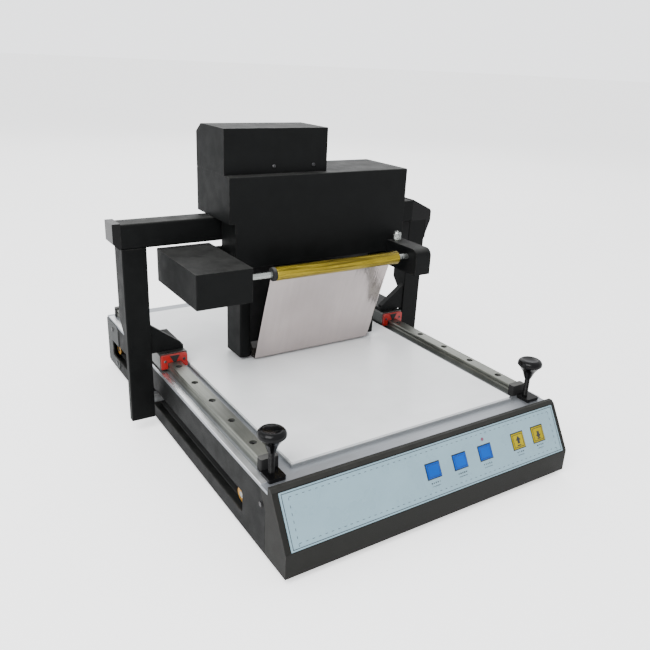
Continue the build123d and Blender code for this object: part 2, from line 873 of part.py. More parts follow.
# ---- head ----
def make_head_carriage():
    """Carriage that hooks over the crossbeam and carries everything on the head."""
    front_y0 = gantry_front - carriage_gap - carriage_plate
    front_y1 = gantry_front - carriage_gap
    top_z0 = beam_top + beam_clearance
    wall = sheet
    body = box(cover_left + carriage_left_inset, cover_right - carriage_right_inset, front_y0, front_y1,
               carriage_bottom, top_z0 + carriage_plate)
    body += box(cover_left + wall, cover_right - wall, front_y0, cover_rear - wall,
                top_z0, top_z0 + carriage_plate)
    nut_y0 = beam_rear + head_rail_depth + slide_gap
    half = nut_width / 2
    nut = box(-half, half, nut_y0, cover_rear - wall - 0.4, screw_z - 10, top_z0 + 1)
    lip_y0, lip_y1 = beam_rear + slide_gap, nut_y0 + 1
    nut += box(-half, half, lip_y0, lip_y1, head_rail_top + slide_gap, beam_top)
    nut += box(-half, half, lip_y0, lip_y1, head_rail_bottom - 5, head_rail_bottom - slide_gap)
    nut -= rod_x(-half - 1, half + 1, screw_y, screw_z, screw_radius + 0.3)
    body += nut
    for rod_place, outward in ((left_rod_x, -1), (right_rod_x, 1)):
        cheek_inner = foil_left - cheek_gap if outward < 0 else foil_right + cheek_gap
        cheek_outer = cheek_inner + outward * cheek_thickness
        shelf_top = shelf_level + shelf_thickness
        body += box(cheek_inner, cheek_outer, cheek_front, front_y0 + 1, cheek_bottom, shelf_top)
        shelf_outer = rod_place + outward * shelf_reach
        body += box(cheek_inner, shelf_outer, shelf_front, front_y0 + 1, shelf_level, shelf_top)
        body -= rod_z(rod_place, rod_y, shelf_level - 5, shelf_level + 20, rod_radius + run_gap)
    body -= rod_x(foil_left - 15, foil_right + 15, supply_y, supply_z, supply_spindle_radius + run_gap)
    return body


def make_head_lower_cover():
    """Wide folded cover of the head, open below and cut away round the crossbeam."""
    skirt_top = beam_top + 1
    body = box(cover_left, cover_right, cover_front, cover_rear, skirt_top, cover_top)
    body += box(cover_left + cover_step, cover_right, cover_front, cover_skirt_rear,
                cover_bottom, skirt_top + 1)
    body = fillet(body.edges().filter_by(Axis.X).group_by(Axis.Z)[-1], 2.5)
    body -= box(cover_left + sheet, cover_right - sheet, cover_front + sheet, cover_rear - sheet,
                skirt_top - 1, cover_top - sheet)
    body -= box(cover_left + cover_step + sheet, cover_right - sheet, cover_front + sheet,
                cover_skirt_rear + 1, cover_bottom - 1, skirt_top + 2)
    return body


def make_head_upper_cover():
    """Narrower upper cover, with its rear top edge cut away."""
    outline = [
        (upper_front, cover_top), (upper_front, upper_top),
        (cover_rear - upper_chamfer_run, upper_top), (cover_rear, upper_top - upper_chamfer_drop),
        (cover_rear, cover_top),
    ]
    wall = sheet
    hollow = [
        (upper_front + wall, cover_top - 1), (upper_front + wall, upper_top - wall),
        (cover_rear - upper_chamfer_run - wall * 0.6, upper_top - wall),
        (cover_rear - wall, upper_top - upper_chamfer_drop - wall * 0.7),
        (cover_rear - wall, cover_top - 1),
    ]
    body = side_profile(outline, cover_left, upper_right)
    return body - side_profile(hollow, cover_left + wall, upper_right - wall)


def make_winder_box():
    """Left arm: a closed box for the winder motor, with an ear that bolts to the carriage."""
    body = box(winder_left, winder_right, arm_front, winder_rear, winder_bottom, winder_top)
    body = fillet(body.edges().filter_by(Axis.Z), 1.5)
    wall = winder_wall
    body -= box(winder_left + wall, winder_right - wall, arm_front + wall, winder_rear - wall,
                winder_bottom + wall, winder_top - wall)
    ear_y1 = gantry_front - carriage_gap
    body += box(winder_right - wall, cover_left + carriage_left_inset, cover_skirt_rear + 1.5, ear_y1,
                cheek_bottom, winder_top - 2)
    return body - rod_x(winder_right - 6, winder_right + 1, reel_y, reel_z, reel_shaft_radius + run_gap)


def make_winder_motor():
    """Geared motor with a hollow output that the take-up shaft plugs into."""
    x1 = winder_right - winder_wall - winder_motor_gap
    body = rod_x(x1 - winder_motor_length, x1, reel_y, reel_z, winder_motor_radius)
    body += rod_x(x1 - 1, x1 + 4, reel_y, reel_z, 9)
    body += box(x1 - 20, x1 - 10, reel_y - 8, reel_y + 8, winder_bottom + winder_wall, reel_z - 10)
    return body - rod_x(x1 - 8, x1 + 5, reel_y, reel_z, reel_shaft_radius + run_gap)


def make_right_arm():
    """Right arm, which carries the far end of the take-up shaft."""
    step_y = cover_front - 0.5
    body = box(arm_left, cover_right, arm_front, step_y, arm_bottom, arm_top)
    nose = body.edges().filter_by(Axis.X).group_by(Axis.Y)[0].sort_by(Axis.Z)[-1]
    body = fillet(nose, arm_nose_radius)
    body += box(arm_left, cover_right, step_y - 1, gantry_front - carriage_gap, arm_bottom, carriage_bottom)
    return body - rod_x(arm_left - 1, arm_left + 14, reel_y, reel_z, reel_shaft_radius + run_gap)


def make_head_screws():
    """Two small screws on the upper cover, and the knurled screw that frees the take-up shaft."""
    screws = []
    for x in cover_screw_x:
        screw = Pos(x, upper_front - 0.9, cover_top + 10) * Rot(90, 0, 0) * Cylinder(2.8, 1.8)
        screws.append(screw)
    x, y = arm_left + 9, -4.0
    knob = rod_z(x, y, arm_top, arm_top + 15, 6.5)
    knob = chamfer(knob.edges().group_by(Axis.Z)[-1], 1.2)
    screws.append(knob)
    return screws


def make_lift_motors():
    """Linear actuators that raise and lower the print head, one above each side plate."""
    motors = []
    half = lift_motor_size / 2
    low = shelf_level + shelf_thickness
    for x in (left_rod_x, right_rod_x):
        motor = box(x - half, x + half, rod_y - half, rod_y + half, low, low + lift_motor_height)
        motor = chamfer(motor.edges().filter_by(Axis.Z), 2)
        motors.append(motor - rod_z(x, rod_y, low - 1, low + 36, rod_radius + 0.3))
    return motors


# ---- print head ----
def make_side_plates():
    """Two deep plates that carry the heated block, each with its guide rod."""
    plates = []
    places = (
        (left_plate_inner - head_plate_thickness, left_plate_inner, left_rod_x),
        (right_plate_inner, right_plate_inner + head_plate_thickness, right_rod_x),
    )
    for x0, x1, rod_place in places:
        plate = box(x0, x1, head_plate_front, head_plate_rear, plate_bottom, head_plate_shoulder)
        plate = fillet(plate.edges().filter_by(Axis.Z), 2)
        plate += box(x0, x1, head_plate_front + 2, block_rear + 4, plate_bottom + 4, head_plate_top)
        plate += rod_z(rod_place, rod_y, head_plate_top - 2, rod_top, rod_radius)
        plates.append(plate)
    return plates


def make_printhead_block():
    """Heat sink between the side plates, with its fins on the back."""
    low = plate_bottom + block_foot_gap
    body = box(left_plate_inner, right_plate_inner, block_front + 4, block_rear, low, head_plate_top - 4)
    for index in range(fin_count):
        z = low + fin_start + index * fin_pitch
        body -= box(left_plate_inner + fin_margin, right_plate_inner - fin_margin, block_rear - fin_depth,
                    block_rear + 1, z, z + fin_gap)
    return body


def make_thermal_bar():
    """Ceramic bar with the heating line along its lower edge."""
    low = plate_bottom
    outline = [
        (bar_front + 3, low), (block_front + 4, low + 2), (block_front + 4, low + bar_height + 8),
        (bar_front + 5, low + bar_height), (bar_front, low + 5),
    ]
    return side_profile(outline, left_plate_inner + 2, right_plate_inner - 2)


def web_line():
    """The film's front run: its lower end, its upper end, and its unit direction, as (y, z)."""
    low = (film_front, plate_bottom - film_bottom_gap - film_thickness)
    reach = foil_roll_radius + film_gap
    span = (reel_y - low[0], reel_z - low[1])
    distance = math.hypot(*span)
    angle = math.atan2(span[1], span[0]) - math.asin(reach / distance)
    length = math.sqrt(distance ** 2 - reach ** 2)
    direction = (math.cos(angle), math.sin(angle))
    return low, length, direction


def make_film_web():
    """Foil carrier film: up the front to the take-up roll, under the bar, and up the back."""
    low, length, direction = web_line()
    thick = film_thickness
    left, right = foil_left + 0.5, foil_right - 0.5
    side = (direction[1], -direction[0])
    upper = (low[0] + direction[0] * length, low[1] + direction[1] * length)
    front_run = side_profile([
        low, upper, (upper[0] + side[0] * thick, upper[1] + side[1] * thick),
        (low[0] + side[0] * thick, low[1] + side[1] * thick),
    ], left, right)
    back = supply_y + supply_radius + 0.4
    under_run = box(left, right, low[0], back + thick, low[1], low[1] + thick)
    rear_run = box(left, right, back, back + thick, low[1], supply_z - 6)
    return front_run + under_run + rear_run


# ---- reels ----
def make_take_up_shaft():
    """Steel take-up shaft with a black collar at the roll's left end."""
    x0 = winder_right - winder_wall - winder_motor_gap - winder_plug
    shaft = rod_x(x0, arm_left + 13, reel_y, reel_z, reel_shaft_radius)
    collar = rod_x(foil_left - 5, foil_left - 1, reel_y, reel_z, foil_roll_radius - 1)
    return shaft + collar


def make_foil_roll():
    """Wound gold foil on its card tube."""
    body = rod_x(foil_left, foil_right, reel_y, reel_z, foil_roll_radius)
    return body - rod_x(foil_left - 1, foil_right + 1, reel_y, reel_z, reel_shaft_radius)


def make_supply_reel():
    """Supply reel inside the head: its spindle, and the fresh foil wound on it."""
    spindle = rod_x(foil_left - 7.5, foil_right + 7.5, supply_y, supply_z, supply_spindle_radius)
    roll = rod_x(foil_left + 0.5, foil_right - 0.5, supply_y, supply_z, supply_radius)
    return [spindle, roll - rod_x(foil_left, foil_right, supply_y, supply_z, supply_spindle_radius)]


def save(name, shapes):
    """Write one node, as one solid or as a group of separate solids."""
    if isinstance(shapes, (list, tuple)):
        shapes = Compound(children=[solid for shape in shapes for solid in shape.solids()])
    export_step(shapes, f"parts/{name}.step")


def main():
    os.makedirs("parts", exist_ok=True)
    save("base_tray", make_base_tray())
    save("side_panels", make_side_panels())
    save("rear_panel", make_rear_panel())
    save("console_housing", make_console_housing())
    save("control_overlay", make_control_overlay())
    save("power_led", make_power_led())
    save("circuit_boards", make_circuit_boards())
    save("deck_plate", make_deck_plate())
    save("platen", make_platen())
    save("platen_pad", make_platen_pad())
    save("gantry_rails", pair(make_rail()))
    save("base_screws", make_base_screws())
    save("rail_stops", make_rail_stops())
    save("knob_blocks", pair(make_knob_block()))
    save("edge_trims", pair(make_edge_trim()))
    save("rear_end_plates", pair(make_rear_end_plate()))
    save("rubber_feet", make_rubber_feet())
    save("power_inlet", make_power_inlet())
    save("power_supply", make_power_supply())
    save("gantry_motor", make_gantry_motor())
    save("gantry_belts", pair(make_gantry_belt()))
    save("bearing_stands", make_bearing_stands())
    save("power_switch", make_power_switch())
    save("left_knob", make_knob(-1))
    save("right_knob", make_knob(1))
    for name, x in zip(("blue_key_left", "blue_key_middle", "blue_key_right"), blue_key_x):
        save(name, make_key(x, blue_key_height))
    for name, x in zip(("yellow_key_left", "yellow_key_right"), yellow_key_x):
        save(name, make_key(x, yellow_key_height))
    save("drive_shaft", make_cross_shaft(drive_y))
    save("drive_pulleys", make_pulleys(drive_y))
    save("idler_shaft", make_cross_shaft(idler_y))
    save("idler_pulleys", make_pulleys(idler_y))
    save("left_leg", make_leg())
    save("right_leg", mirrored(make_leg()))
    save("crossbeam", make_crossbeam())
    save("beam_end_caps", [make_beam_end_cap(), make_right_end_cover()])
    save("leg_brackets", pair(make_leg_bracket()))
    save("bearing_blocks", pair(make_bearing_block()))
    seals = make_end_seals()
    save("bearing_end_seals", seals + [mirrored(seal) for seal in seals])
    save("belt_clamps", pair(make_belt_clamp()))
    save("head_rail", make_head_rail())
    save("head_motor", make_head_motor())
    save("head_screw", make_head_screw())
    save("head_carriage", make_head_carriage())
    save("head_lower_cover", make_head_lower_cover())
    save("head_upper_cover", make_head_upper_cover())
    save("winder_box", make_winder_box())
    save("right_arm", make_right_arm())
    save("head_screws", make_head_screws())
    save("winder_motor", make_winder_motor())
    save("lift_motors", make_lift_motors())
    save("film_web", make_film_web())
    save("printhead_block", make_printhead_block())
    save("printhead_side_plates", make_side_plates())
    save("thermal_bar", make_thermal_bar())
    save("take_up_shaft", make_take_up_shaft())
    save("foil_roll", make_foil_roll())
    save("supply_reel", make_supply_reel())


main()
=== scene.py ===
import json
import math

import bmesh
import bpy
import numpy as np
from bpy.props import FloatProperty, FloatVectorProperty, IntProperty, PointerProperty
from mathutils import Matrix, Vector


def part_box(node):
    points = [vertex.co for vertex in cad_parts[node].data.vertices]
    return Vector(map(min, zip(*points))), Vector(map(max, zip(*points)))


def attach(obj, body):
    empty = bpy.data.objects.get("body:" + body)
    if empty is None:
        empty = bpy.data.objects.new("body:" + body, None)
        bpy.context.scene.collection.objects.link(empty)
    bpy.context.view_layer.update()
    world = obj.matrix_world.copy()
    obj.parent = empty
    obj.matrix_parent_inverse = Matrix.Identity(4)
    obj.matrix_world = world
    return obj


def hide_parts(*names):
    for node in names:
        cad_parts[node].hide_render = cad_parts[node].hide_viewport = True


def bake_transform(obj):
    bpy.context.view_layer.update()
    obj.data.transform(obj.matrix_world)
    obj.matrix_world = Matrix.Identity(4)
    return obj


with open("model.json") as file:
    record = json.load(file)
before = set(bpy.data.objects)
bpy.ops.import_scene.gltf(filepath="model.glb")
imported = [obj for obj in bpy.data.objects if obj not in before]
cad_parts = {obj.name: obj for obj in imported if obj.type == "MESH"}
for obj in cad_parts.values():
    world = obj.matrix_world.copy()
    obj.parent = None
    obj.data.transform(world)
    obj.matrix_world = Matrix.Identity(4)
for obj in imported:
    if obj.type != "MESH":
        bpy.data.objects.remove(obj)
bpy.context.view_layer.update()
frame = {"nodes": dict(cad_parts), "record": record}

bl_info = {
    "name": "Hot foil stamper",
    "version": (1, 0, 0),
    "blender": (4, 5, 0),
    "location": "3D View > Sidebar > Foil stamper",
    "description": "Materials and detailed pieces for a desktop flatbed hot foil stamper",
    "category": "Object",
}

TAU = 2 * math.pi
MM = 0.001
RANDOM_SEED = 17

# How far round the take-up roll the film lies, in degrees.
FILM_WRAP = 20.0

# The control panel's sheet: its top and bottom edges as (y, z) in metres, and half its width.
PANEL_TOP = (-0.292, 0.098)
PANEL_BOTTOM = (-0.326, 0.0394)
PANEL_HALF_WIDTH = 0.2185

# Each key's node and its place across the panel, and how far down the slope the keys' middles are.
BLUE_KEYS = (("blue_key_left", -0.0090), ("blue_key_middle", 0.0353), ("blue_key_right", 0.0796))
YELLOW_KEYS = (("yellow_key_left", 0.1404), ("yellow_key_right", 0.1790))
KEY_LEVEL = 0.033

# How far the overlay and the keys stand out from the slope.
OVERLAY_TOP = 0.001
KEY_TOP = 0.002

# Rows of marks under the keys: how far down the slope, how many marks, and their size.
LABEL_ROWS = ((BLUE_KEYS, ((0.0480, 5, 0.0011), (0.0520, 9, 0.0006))),
              (YELLOW_KEYS, ((0.0480, 4, 0.0011), (0.0520, 7, 0.0006))))

# The camera's place and aim.
CAMERA_PLACE = (-0.5231, -0.8324, 0.5347)
CAMERA_AZIMUTH = math.radians(33.34)
CAMERA_ELEVATION = math.radians(21.22)
CAMERA_ROLL = math.radians(2.73)
CAMERA_LENS = 37.65

# The even white sky: how strongly it lights the object, and how bright the camera sees it.
# The floor's own glow, which only the camera sees.
SKY_LIGHT = 1.25
SKY_SEEN = 2.5
FLOOR_GLOW = 1.1
FLOOR_HALF = 60
FLOOR_HALF_DEPTH = 0.01

# Each soft light's name, place, the point it looks at, its size and its power.
LAMPS = (("key_light", (-1.5, -0.9, 2.2), (0, 0, 0.2), 1.8, 85),
         ("back_light", (1.2, 2.4, 2.4), (0, 0, 0.35), 3.0, 45),
         ("left_light", (-2.6, 0.9, 1.2), (0, 0, 0.25), 1.6, 14))


def linear(red, green, blue):
    """A display colour from 0 to 255 as scene-linear values."""
    value = np.array([red, green, blue]) / 255
    return tuple(np.where(value <= 0.04045, value / 12.92, ((value + 0.055) / 1.055) ** 2.4).tolist())


# Shared by every finish: how dark streaks go, how much they and the fine bump are raised, and the dust,
# whose pale colour on faces that look up is partly a painted sheen.
STREAK_SHADE = 0.35
STREAK_RELIEF = 2.0
BUMP_STRENGTH = 0.6
DUST_AND_SHEEN_COLOUR = linear(168, 168, 164)
DUST_ROUGHENING = 0.35


def colour_property(name, description, default):
    """A colour that a user may change."""
    return FloatVectorProperty(name=name, description=description, default=default,
                               subtype="COLOR", size=3, min=0, max=1)


def length_property(name, description, default):
    """A length in metres that a user may change."""
    return FloatProperty(name=name, description=description, default=default, min=0, unit="LENGTH")


class StamperSizes(bpy.types.PropertyGroup):
    """Sizes of the pieces that are made here."""
    casing_edge: length_property("Casing edge", "Rounding of the painted casings' edges", 0.0014)
    plate_edge: length_property("Plate edge", "Rounding of metal plates' edges", 0.0005)
    knob_dish: length_property("Knob dish", "Depth of the hollow in each corner knob's top", 0.0009)
    thread_pitch: length_property("Thread pitch", "Pitch of the corner screws' thread", 0.00125)
    belt_pitch: length_property("Belt pitch", "Distance between belt teeth", 0.003)
    film_ripple: length_property("Film ripple", "Height of the waves in the foil film", 0.0007)
    ink: length_property("Ink", "Thickness of printed lines on the control panel", 0.00006)
    knurls: IntProperty(name="Knurls", description="Ridges round the knurled release screw",
                        default=30, min=8)


class StamperColours(bpy.types.PropertyGroup):
    """Colours that a user would change."""
    casing: colour_property("Casing", "Black powder coat of the head and gantry", linear(14, 15, 15))
    console: colour_property("Console", "Warmer black of the base and console", linear(30, 30, 28))
    panel: colour_property("Panel", "Printed control panel", linear(132, 160, 172))
    blue: colour_property("Blue keys", "Left group of keys", linear(0, 74, 166))
    yellow: colour_property("Yellow keys", "Right group of keys", linear(158, 142, 0))
    pad: colour_property("Pad", "Silicone pad on the platen", linear(238, 240, 241))
    gold: colour_property("Foil", "Metallised foil on the rolls", linear(158, 138, 40))
    film: colour_property("Film", "Stripped carrier film", linear(188, 178, 176))
    seal: colour_property("Seals", "End seals of the bearing blocks", linear(158, 20, 16))


def sizes():
    """The sizes that are set in the scene."""
    return bpy.context.scene.stamper_sizes


def colours():
    """The colours that are set in the scene."""
    return bpy.context.scene.stamper_colours


# ---- shader helpers ----
def add_node(tree, kind, inputs=None, **settings):
    """Adds a shader node; inputs maps a socket's name or number to a value or to another socket."""
    node = tree.nodes.new(kind)
    for name, value in settings.items():
        setattr(node, name, value)
    for key, value in (inputs or {}).items():
        if isinstance(value, bpy.types.NodeSocket):
            tree.links.new(value, node.inputs[key])
        else:
            node.inputs[key].default_value = value
    return node


def maths(tree, operation, first, second=0.0, clamp=False):
    """One operation on two numbers, each a value or a socket."""
    inputs = {0: first, 1: second}
    return add_node(tree, "ShaderNodeMath", inputs, operation=operation, use_clamp=clamp).outputs[0]


def remap(tree, value, low, high, to_low=0.0, to_high=1.0, kind="SMOOTHSTEP"):
    """Takes the range from low to high onto the range from to_low to to_high."""
    inputs = {"Value": value, "From Min": low, "From Max": high, "To Min": to_low, "To Max": to_high}
    return add_node(tree, "ShaderNodeMapRange", inputs, interpolation_type=kind).outputs["Result"]


def mix_colour(tree, factor, first, second, blend="MIX"):
    """Mixes two colours, each a tuple or a socket, by a number or a socket."""
    node = add_node(tree, "ShaderNodeMix", data_type="RGBA", blend_type=blend)
    for socket, value in zip([node.inputs[0], node.inputs[6], node.inputs[7]], [factor, first, second]):
        if isinstance(value, bpy.types.NodeSocket):
            tree.links.new(value, socket)
        elif isinstance(value, float):
            socket.default_value = value
        else:
            socket.default_value = (*value, 1)
    return node.outputs[2]


def new_group(name, inputs, outputs):
    """An empty shader node group; inputs are (name, socket type, default), outputs are names."""
    group = bpy.data.node_groups.new(name, "ShaderNodeTree")
    for label, kind, default in inputs:
        socket = group.interface.new_socket(label, in_out="INPUT", socket_type=kind)
        if default is not None:
            socket.default_value = default
    for label in outputs:
        group.interface.new_socket(label, in_out="OUTPUT", socket_type="NodeSocketFloat")
    return group, group.nodes.new("NodeGroupInput"), group.nodes.new("NodeGroupOutput")


def make_grain_group():
    """Grain: fine noise, and slow mottling at three hundredths of its frequency."""
    group, source, sink = new_group("Grain", [
        ("Vector", "NodeSocketVector", None), ("Scale", "NodeSocketFloat", 900.0)], ["Fine", "Mottle"])
    vector, scale = source.outputs[0], source.outputs[1]
    fine = add_node(group, "ShaderNodeTexNoise", {"Vector": vector, "Scale": scale, "Detail": 3.0})
    slow_scale = maths(group, "MULTIPLY", scale, 0.03)
    slow = add_node(group, "ShaderNodeTexNoise", {"Vector": vector, "Scale": slow_scale, "Detail": 4.0})
    group.links.new(fine.outputs["Fac"], sink.inputs["Fine"])
    group.links.new(remap(group, slow.outputs["Fac"], 0.3, 0.7), sink.inputs["Mottle"])
    return group


def make_wear_and_highlight_group():
    """Edge wear and painted highlight: where a rounded normal leaves the face's own normal, broken up by
    noise.
    """
    group, source, sink = new_group("Edge wear", [
        ("Vector", "NodeSocketVector", None), ("Radius", "NodeSocketFloat", 0.0015),
        ("Amount", "NodeSocketFloat", 0.5)], ["Mask"])
    rounded = add_node(group, "ShaderNodeBevel", {"Radius": source.outputs["Radius"]}, samples=4)
    geometry = add_node(group, "ShaderNodeNewGeometry")
    meet = add_node(group, "ShaderNodeVectorMath", {0: rounded.outputs[0], 1: geometry.outputs["Normal"]},
                    operation="DOT_PRODUCT")
    edge = remap(group, meet.outputs["Value"], 0.985, 0.90)
    noise = add_node(group, "ShaderNodeTexNoise",
                     {"Vector": source.outputs["Vector"], "Scale": 130.0, "Detail": 5.0, "Roughness": 0.65})
    broken = remap(group, noise.outputs["Fac"], 0.42, 0.66)
    worn_and_highlit = maths(group, "MULTIPLY", edge, broken)
    mask = maths(group, "MULTIPLY", worn_and_highlit, source.outputs["Amount"], clamp=True)
    group.links.new(mask, sink.inputs["Mask"])
    return group


def make_dust_and_sheen_group():
    """Dust and painted sheen: faces that look up, thinned by noise."""
    group, source, sink = new_group("Dust and sheen", [
        ("Vector", "NodeSocketVector", None), ("Amount", "NodeSocketFloat", 0.3)], ["Mask"])
    geometry = add_node(group, "ShaderNodeNewGeometry")
    split = add_node(group, "ShaderNodeSeparateXYZ", {0: geometry.outputs["Normal"]})
    up = remap(group, split.outputs["Z"], 0.45, 0.98)
    noise = add_node(group, "ShaderNodeTexNoise",
                     {"Vector": source.outputs["Vector"], "Scale": 38.0, "Detail": 7.0, "Roughness": 0.7})
    drift = remap(group, noise.outputs["Fac"], 0.25, 0.75, 0.35, 1.0)
    settled = maths(group, "MULTIPLY", up, drift)
    mask = maths(group, "MULTIPLY", settled, source.outputs["Amount"], clamp=True)
    group.links.new(mask, sink.inputs["Mask"])
    return group


def make_streak_group():
    """Streaks: noise drawn out along one axis, as grinding or brushing leaves."""
    group, source, sink = new_group("Streaks", [
        ("Vector", "NodeSocketVector", None), ("Spread", "NodeSocketVector", (1.0, 1.0, 1.0))], ["Value"])
    spread = add_node(group, "ShaderNodeMapping", {"Vector": source.outputs[0], "Scale": source.outputs[1]})
    noise = add_node(group, "ShaderNodeTexNoise",
                     {"Vector": spread.outputs[0], "Scale": 1.0, "Detail": 4.0})
    group.links.new(noise.outputs["Fac"], sink.inputs["Value"])
    return group


GROUP_MAKERS = {"Grain": make_grain_group, "Edge wear": make_wear_and_highlight_group,
                "Dust and sheen": make_dust_and_sheen_group, "Streaks": make_streak_group}


def add_group(tree, name, inputs):
    """Uses a node group, making it the first time."""
    group = bpy.data.node_groups.get(name) or GROUP_MAKERS[name]()
    return add_node(tree, "ShaderNodeGroup", inputs, node_tree=group)


def surface(name, colour, roughness, metallic=0.0, grain=900.0, bump=0.0002, mottle=0.12, wear_and_highlight=0.0,
            wear_and_highlight_colour=(0.2, 0.2, 0.2), dust_and_sheen=0.0, streak=None, streak_depth=0.0, coat=0.0, specular=0.5,
            rough_spread=0.1, wear_and_highlight_radius=0.0015, streak_edges=(0.0, 1.0)):
    """A finish in layers: base colour with mottling, streaks, edges worn and in places painted lighter as a
    highlight, dust with a painted sheen on faces that look up, and a fine bump.
    """
    material = bpy.data.materials.new(name)
    material.use_nodes = True
    tree = material.node_tree
    shader = tree.nodes["Principled BSDF"]
    place = add_node(tree, "ShaderNodeTexCoord").outputs["Object"]
    texture = add_group(tree, "Grain", {"Vector": place, "Scale": grain})
    dark = tuple(max(0.0, c * (1 - mottle)) for c in colour)
    light = tuple(min(1.0, c * (1 + mottle)) for c in colour)
    base = mix_colour(tree, texture.outputs["Mottle"], dark, light)
    rough = remap(tree, texture.outputs["Mottle"], 0.0, 1.0, roughness - rough_spread / 2,
                  roughness + rough_spread / 2, "LINEAR")
    height = texture.outputs["Fine"]
    if streak:
        lines = add_group(tree, "Streaks", {"Vector": place, "Spread": streak}).outputs["Value"]
        lines = remap(tree, lines, *streak_edges, kind="LINEAR")
        base = mix_colour(tree, maths(tree, "MULTIPLY", lines, streak_depth), base,
                          tuple(c * STREAK_SHADE for c in colour))
        rough = maths(tree, "ADD", rough, remap(tree, lines, 0.3, 0.7, -0.05, 0.08, "LINEAR"))
        height = maths(tree, "ADD", height, maths(tree, "MULTIPLY", lines, STREAK_RELIEF))
    # Edges go towards another colour: wear, and on the casings a painted highlight.
    if wear_and_highlight:
        worn_and_highlit = add_group(tree, "Edge wear", {"Vector": place, "Radius": wear_and_highlight_radius, "Amount": wear_and_highlight})
        base = mix_colour(tree, worn_and_highlit.outputs["Mask"], base, wear_and_highlight_colour)
    # Faces that look up go towards a pale colour: dust, and a painted sheen.
    if dust_and_sheen:
        dust_and_sheen_mask = add_group(tree, "Dust and sheen", {"Vector": place, "Amount": dust_and_sheen}).outputs["Mask"]
        base = mix_colour(tree, dust_and_sheen_mask, base, DUST_AND_SHEEN_COLOUR)
        rough = maths(tree, "ADD", rough, maths(tree, "MULTIPLY", dust_and_sheen_mask, DUST_ROUGHENING), clamp=True)
    tree.links.new(base, shader.inputs["Base Color"])
    tree.links.new(rough, shader.inputs["Roughness"])
    shader.inputs["Metallic"].default_value = metallic
    shader.inputs["Specular IOR Level"].default_value = specular
    shader.inputs["Coat Weight"].default_value = coat
    relief = add_node(tree, "ShaderNodeBump", {"Height": height, "Strength": BUMP_STRENGTH,
                                                 "Distance": bump})
    tree.links.new(relief.outputs[0], shader.inputs["Normal"])
    return material


def make_film_finish():
    """Shiny stripped carrier film: clouded silver with thin creases along its travel."""
    return surface("film", tuple(colours().film), 0.14, metallic=0.88, grain=220, bump=0.00025,
                   mottle=0.12, streak=(150.0, 7.0, 11.0), streak_depth=0.22)


def make_gold_finish():
    """Wound metallised foil: streaks along the roll from pale to dark gold, the dark ones a painted shade of
    its tight creases.
    """
    return surface("gold_foil", tuple(colours().gold), 0.28, metallic=0.9, grain=500, bump=0.0006,
                   mottle=0.25, streak=(11.0, 300.0, 300.0), streak_depth=1.0, streak_edges=(0.42, 0.64))


def make_board_finish():
    """Green solder mask with a lattice of paler copper tracks."""
    material = surface("board_laminate", linear(12, 84, 44), 0.35, grain=700, mottle=0.1, coat=0.3)
    tree = material.node_tree
    shader = tree.nodes["Principled BSDF"]
    place = add_node(tree, "ShaderNodeTexCoord").outputs["Object"]
    tracks = add_node(tree, "ShaderNodeTexBrick", {"Vector": place, "Scale": 90.0, "Mortar Size": 0.03})
    old = shader.inputs["Base Color"].links[0].from_socket
    mixed = mix_colour(tree, maths(tree, "MULTIPLY", tracks.outputs["Fac"], 0.5), old, linear(70, 140, 70))
    tree.links.new(mixed, shader.inputs["Base Color"])
    return material


def make_motor_finish():
    """Stepper motor: dark paint streaked with fine lines like thin steel laminations."""
    return surface("motor_black", linear(44, 44, 46), 0.4, metallic=0.4, grain=700, mottle=0.15,
                   streak=(1600.0, 4.0, 4.0), streak_depth=0.7, wear_and_highlight=0.5, wear_and_highlight_colour=linear(120, 120, 118))


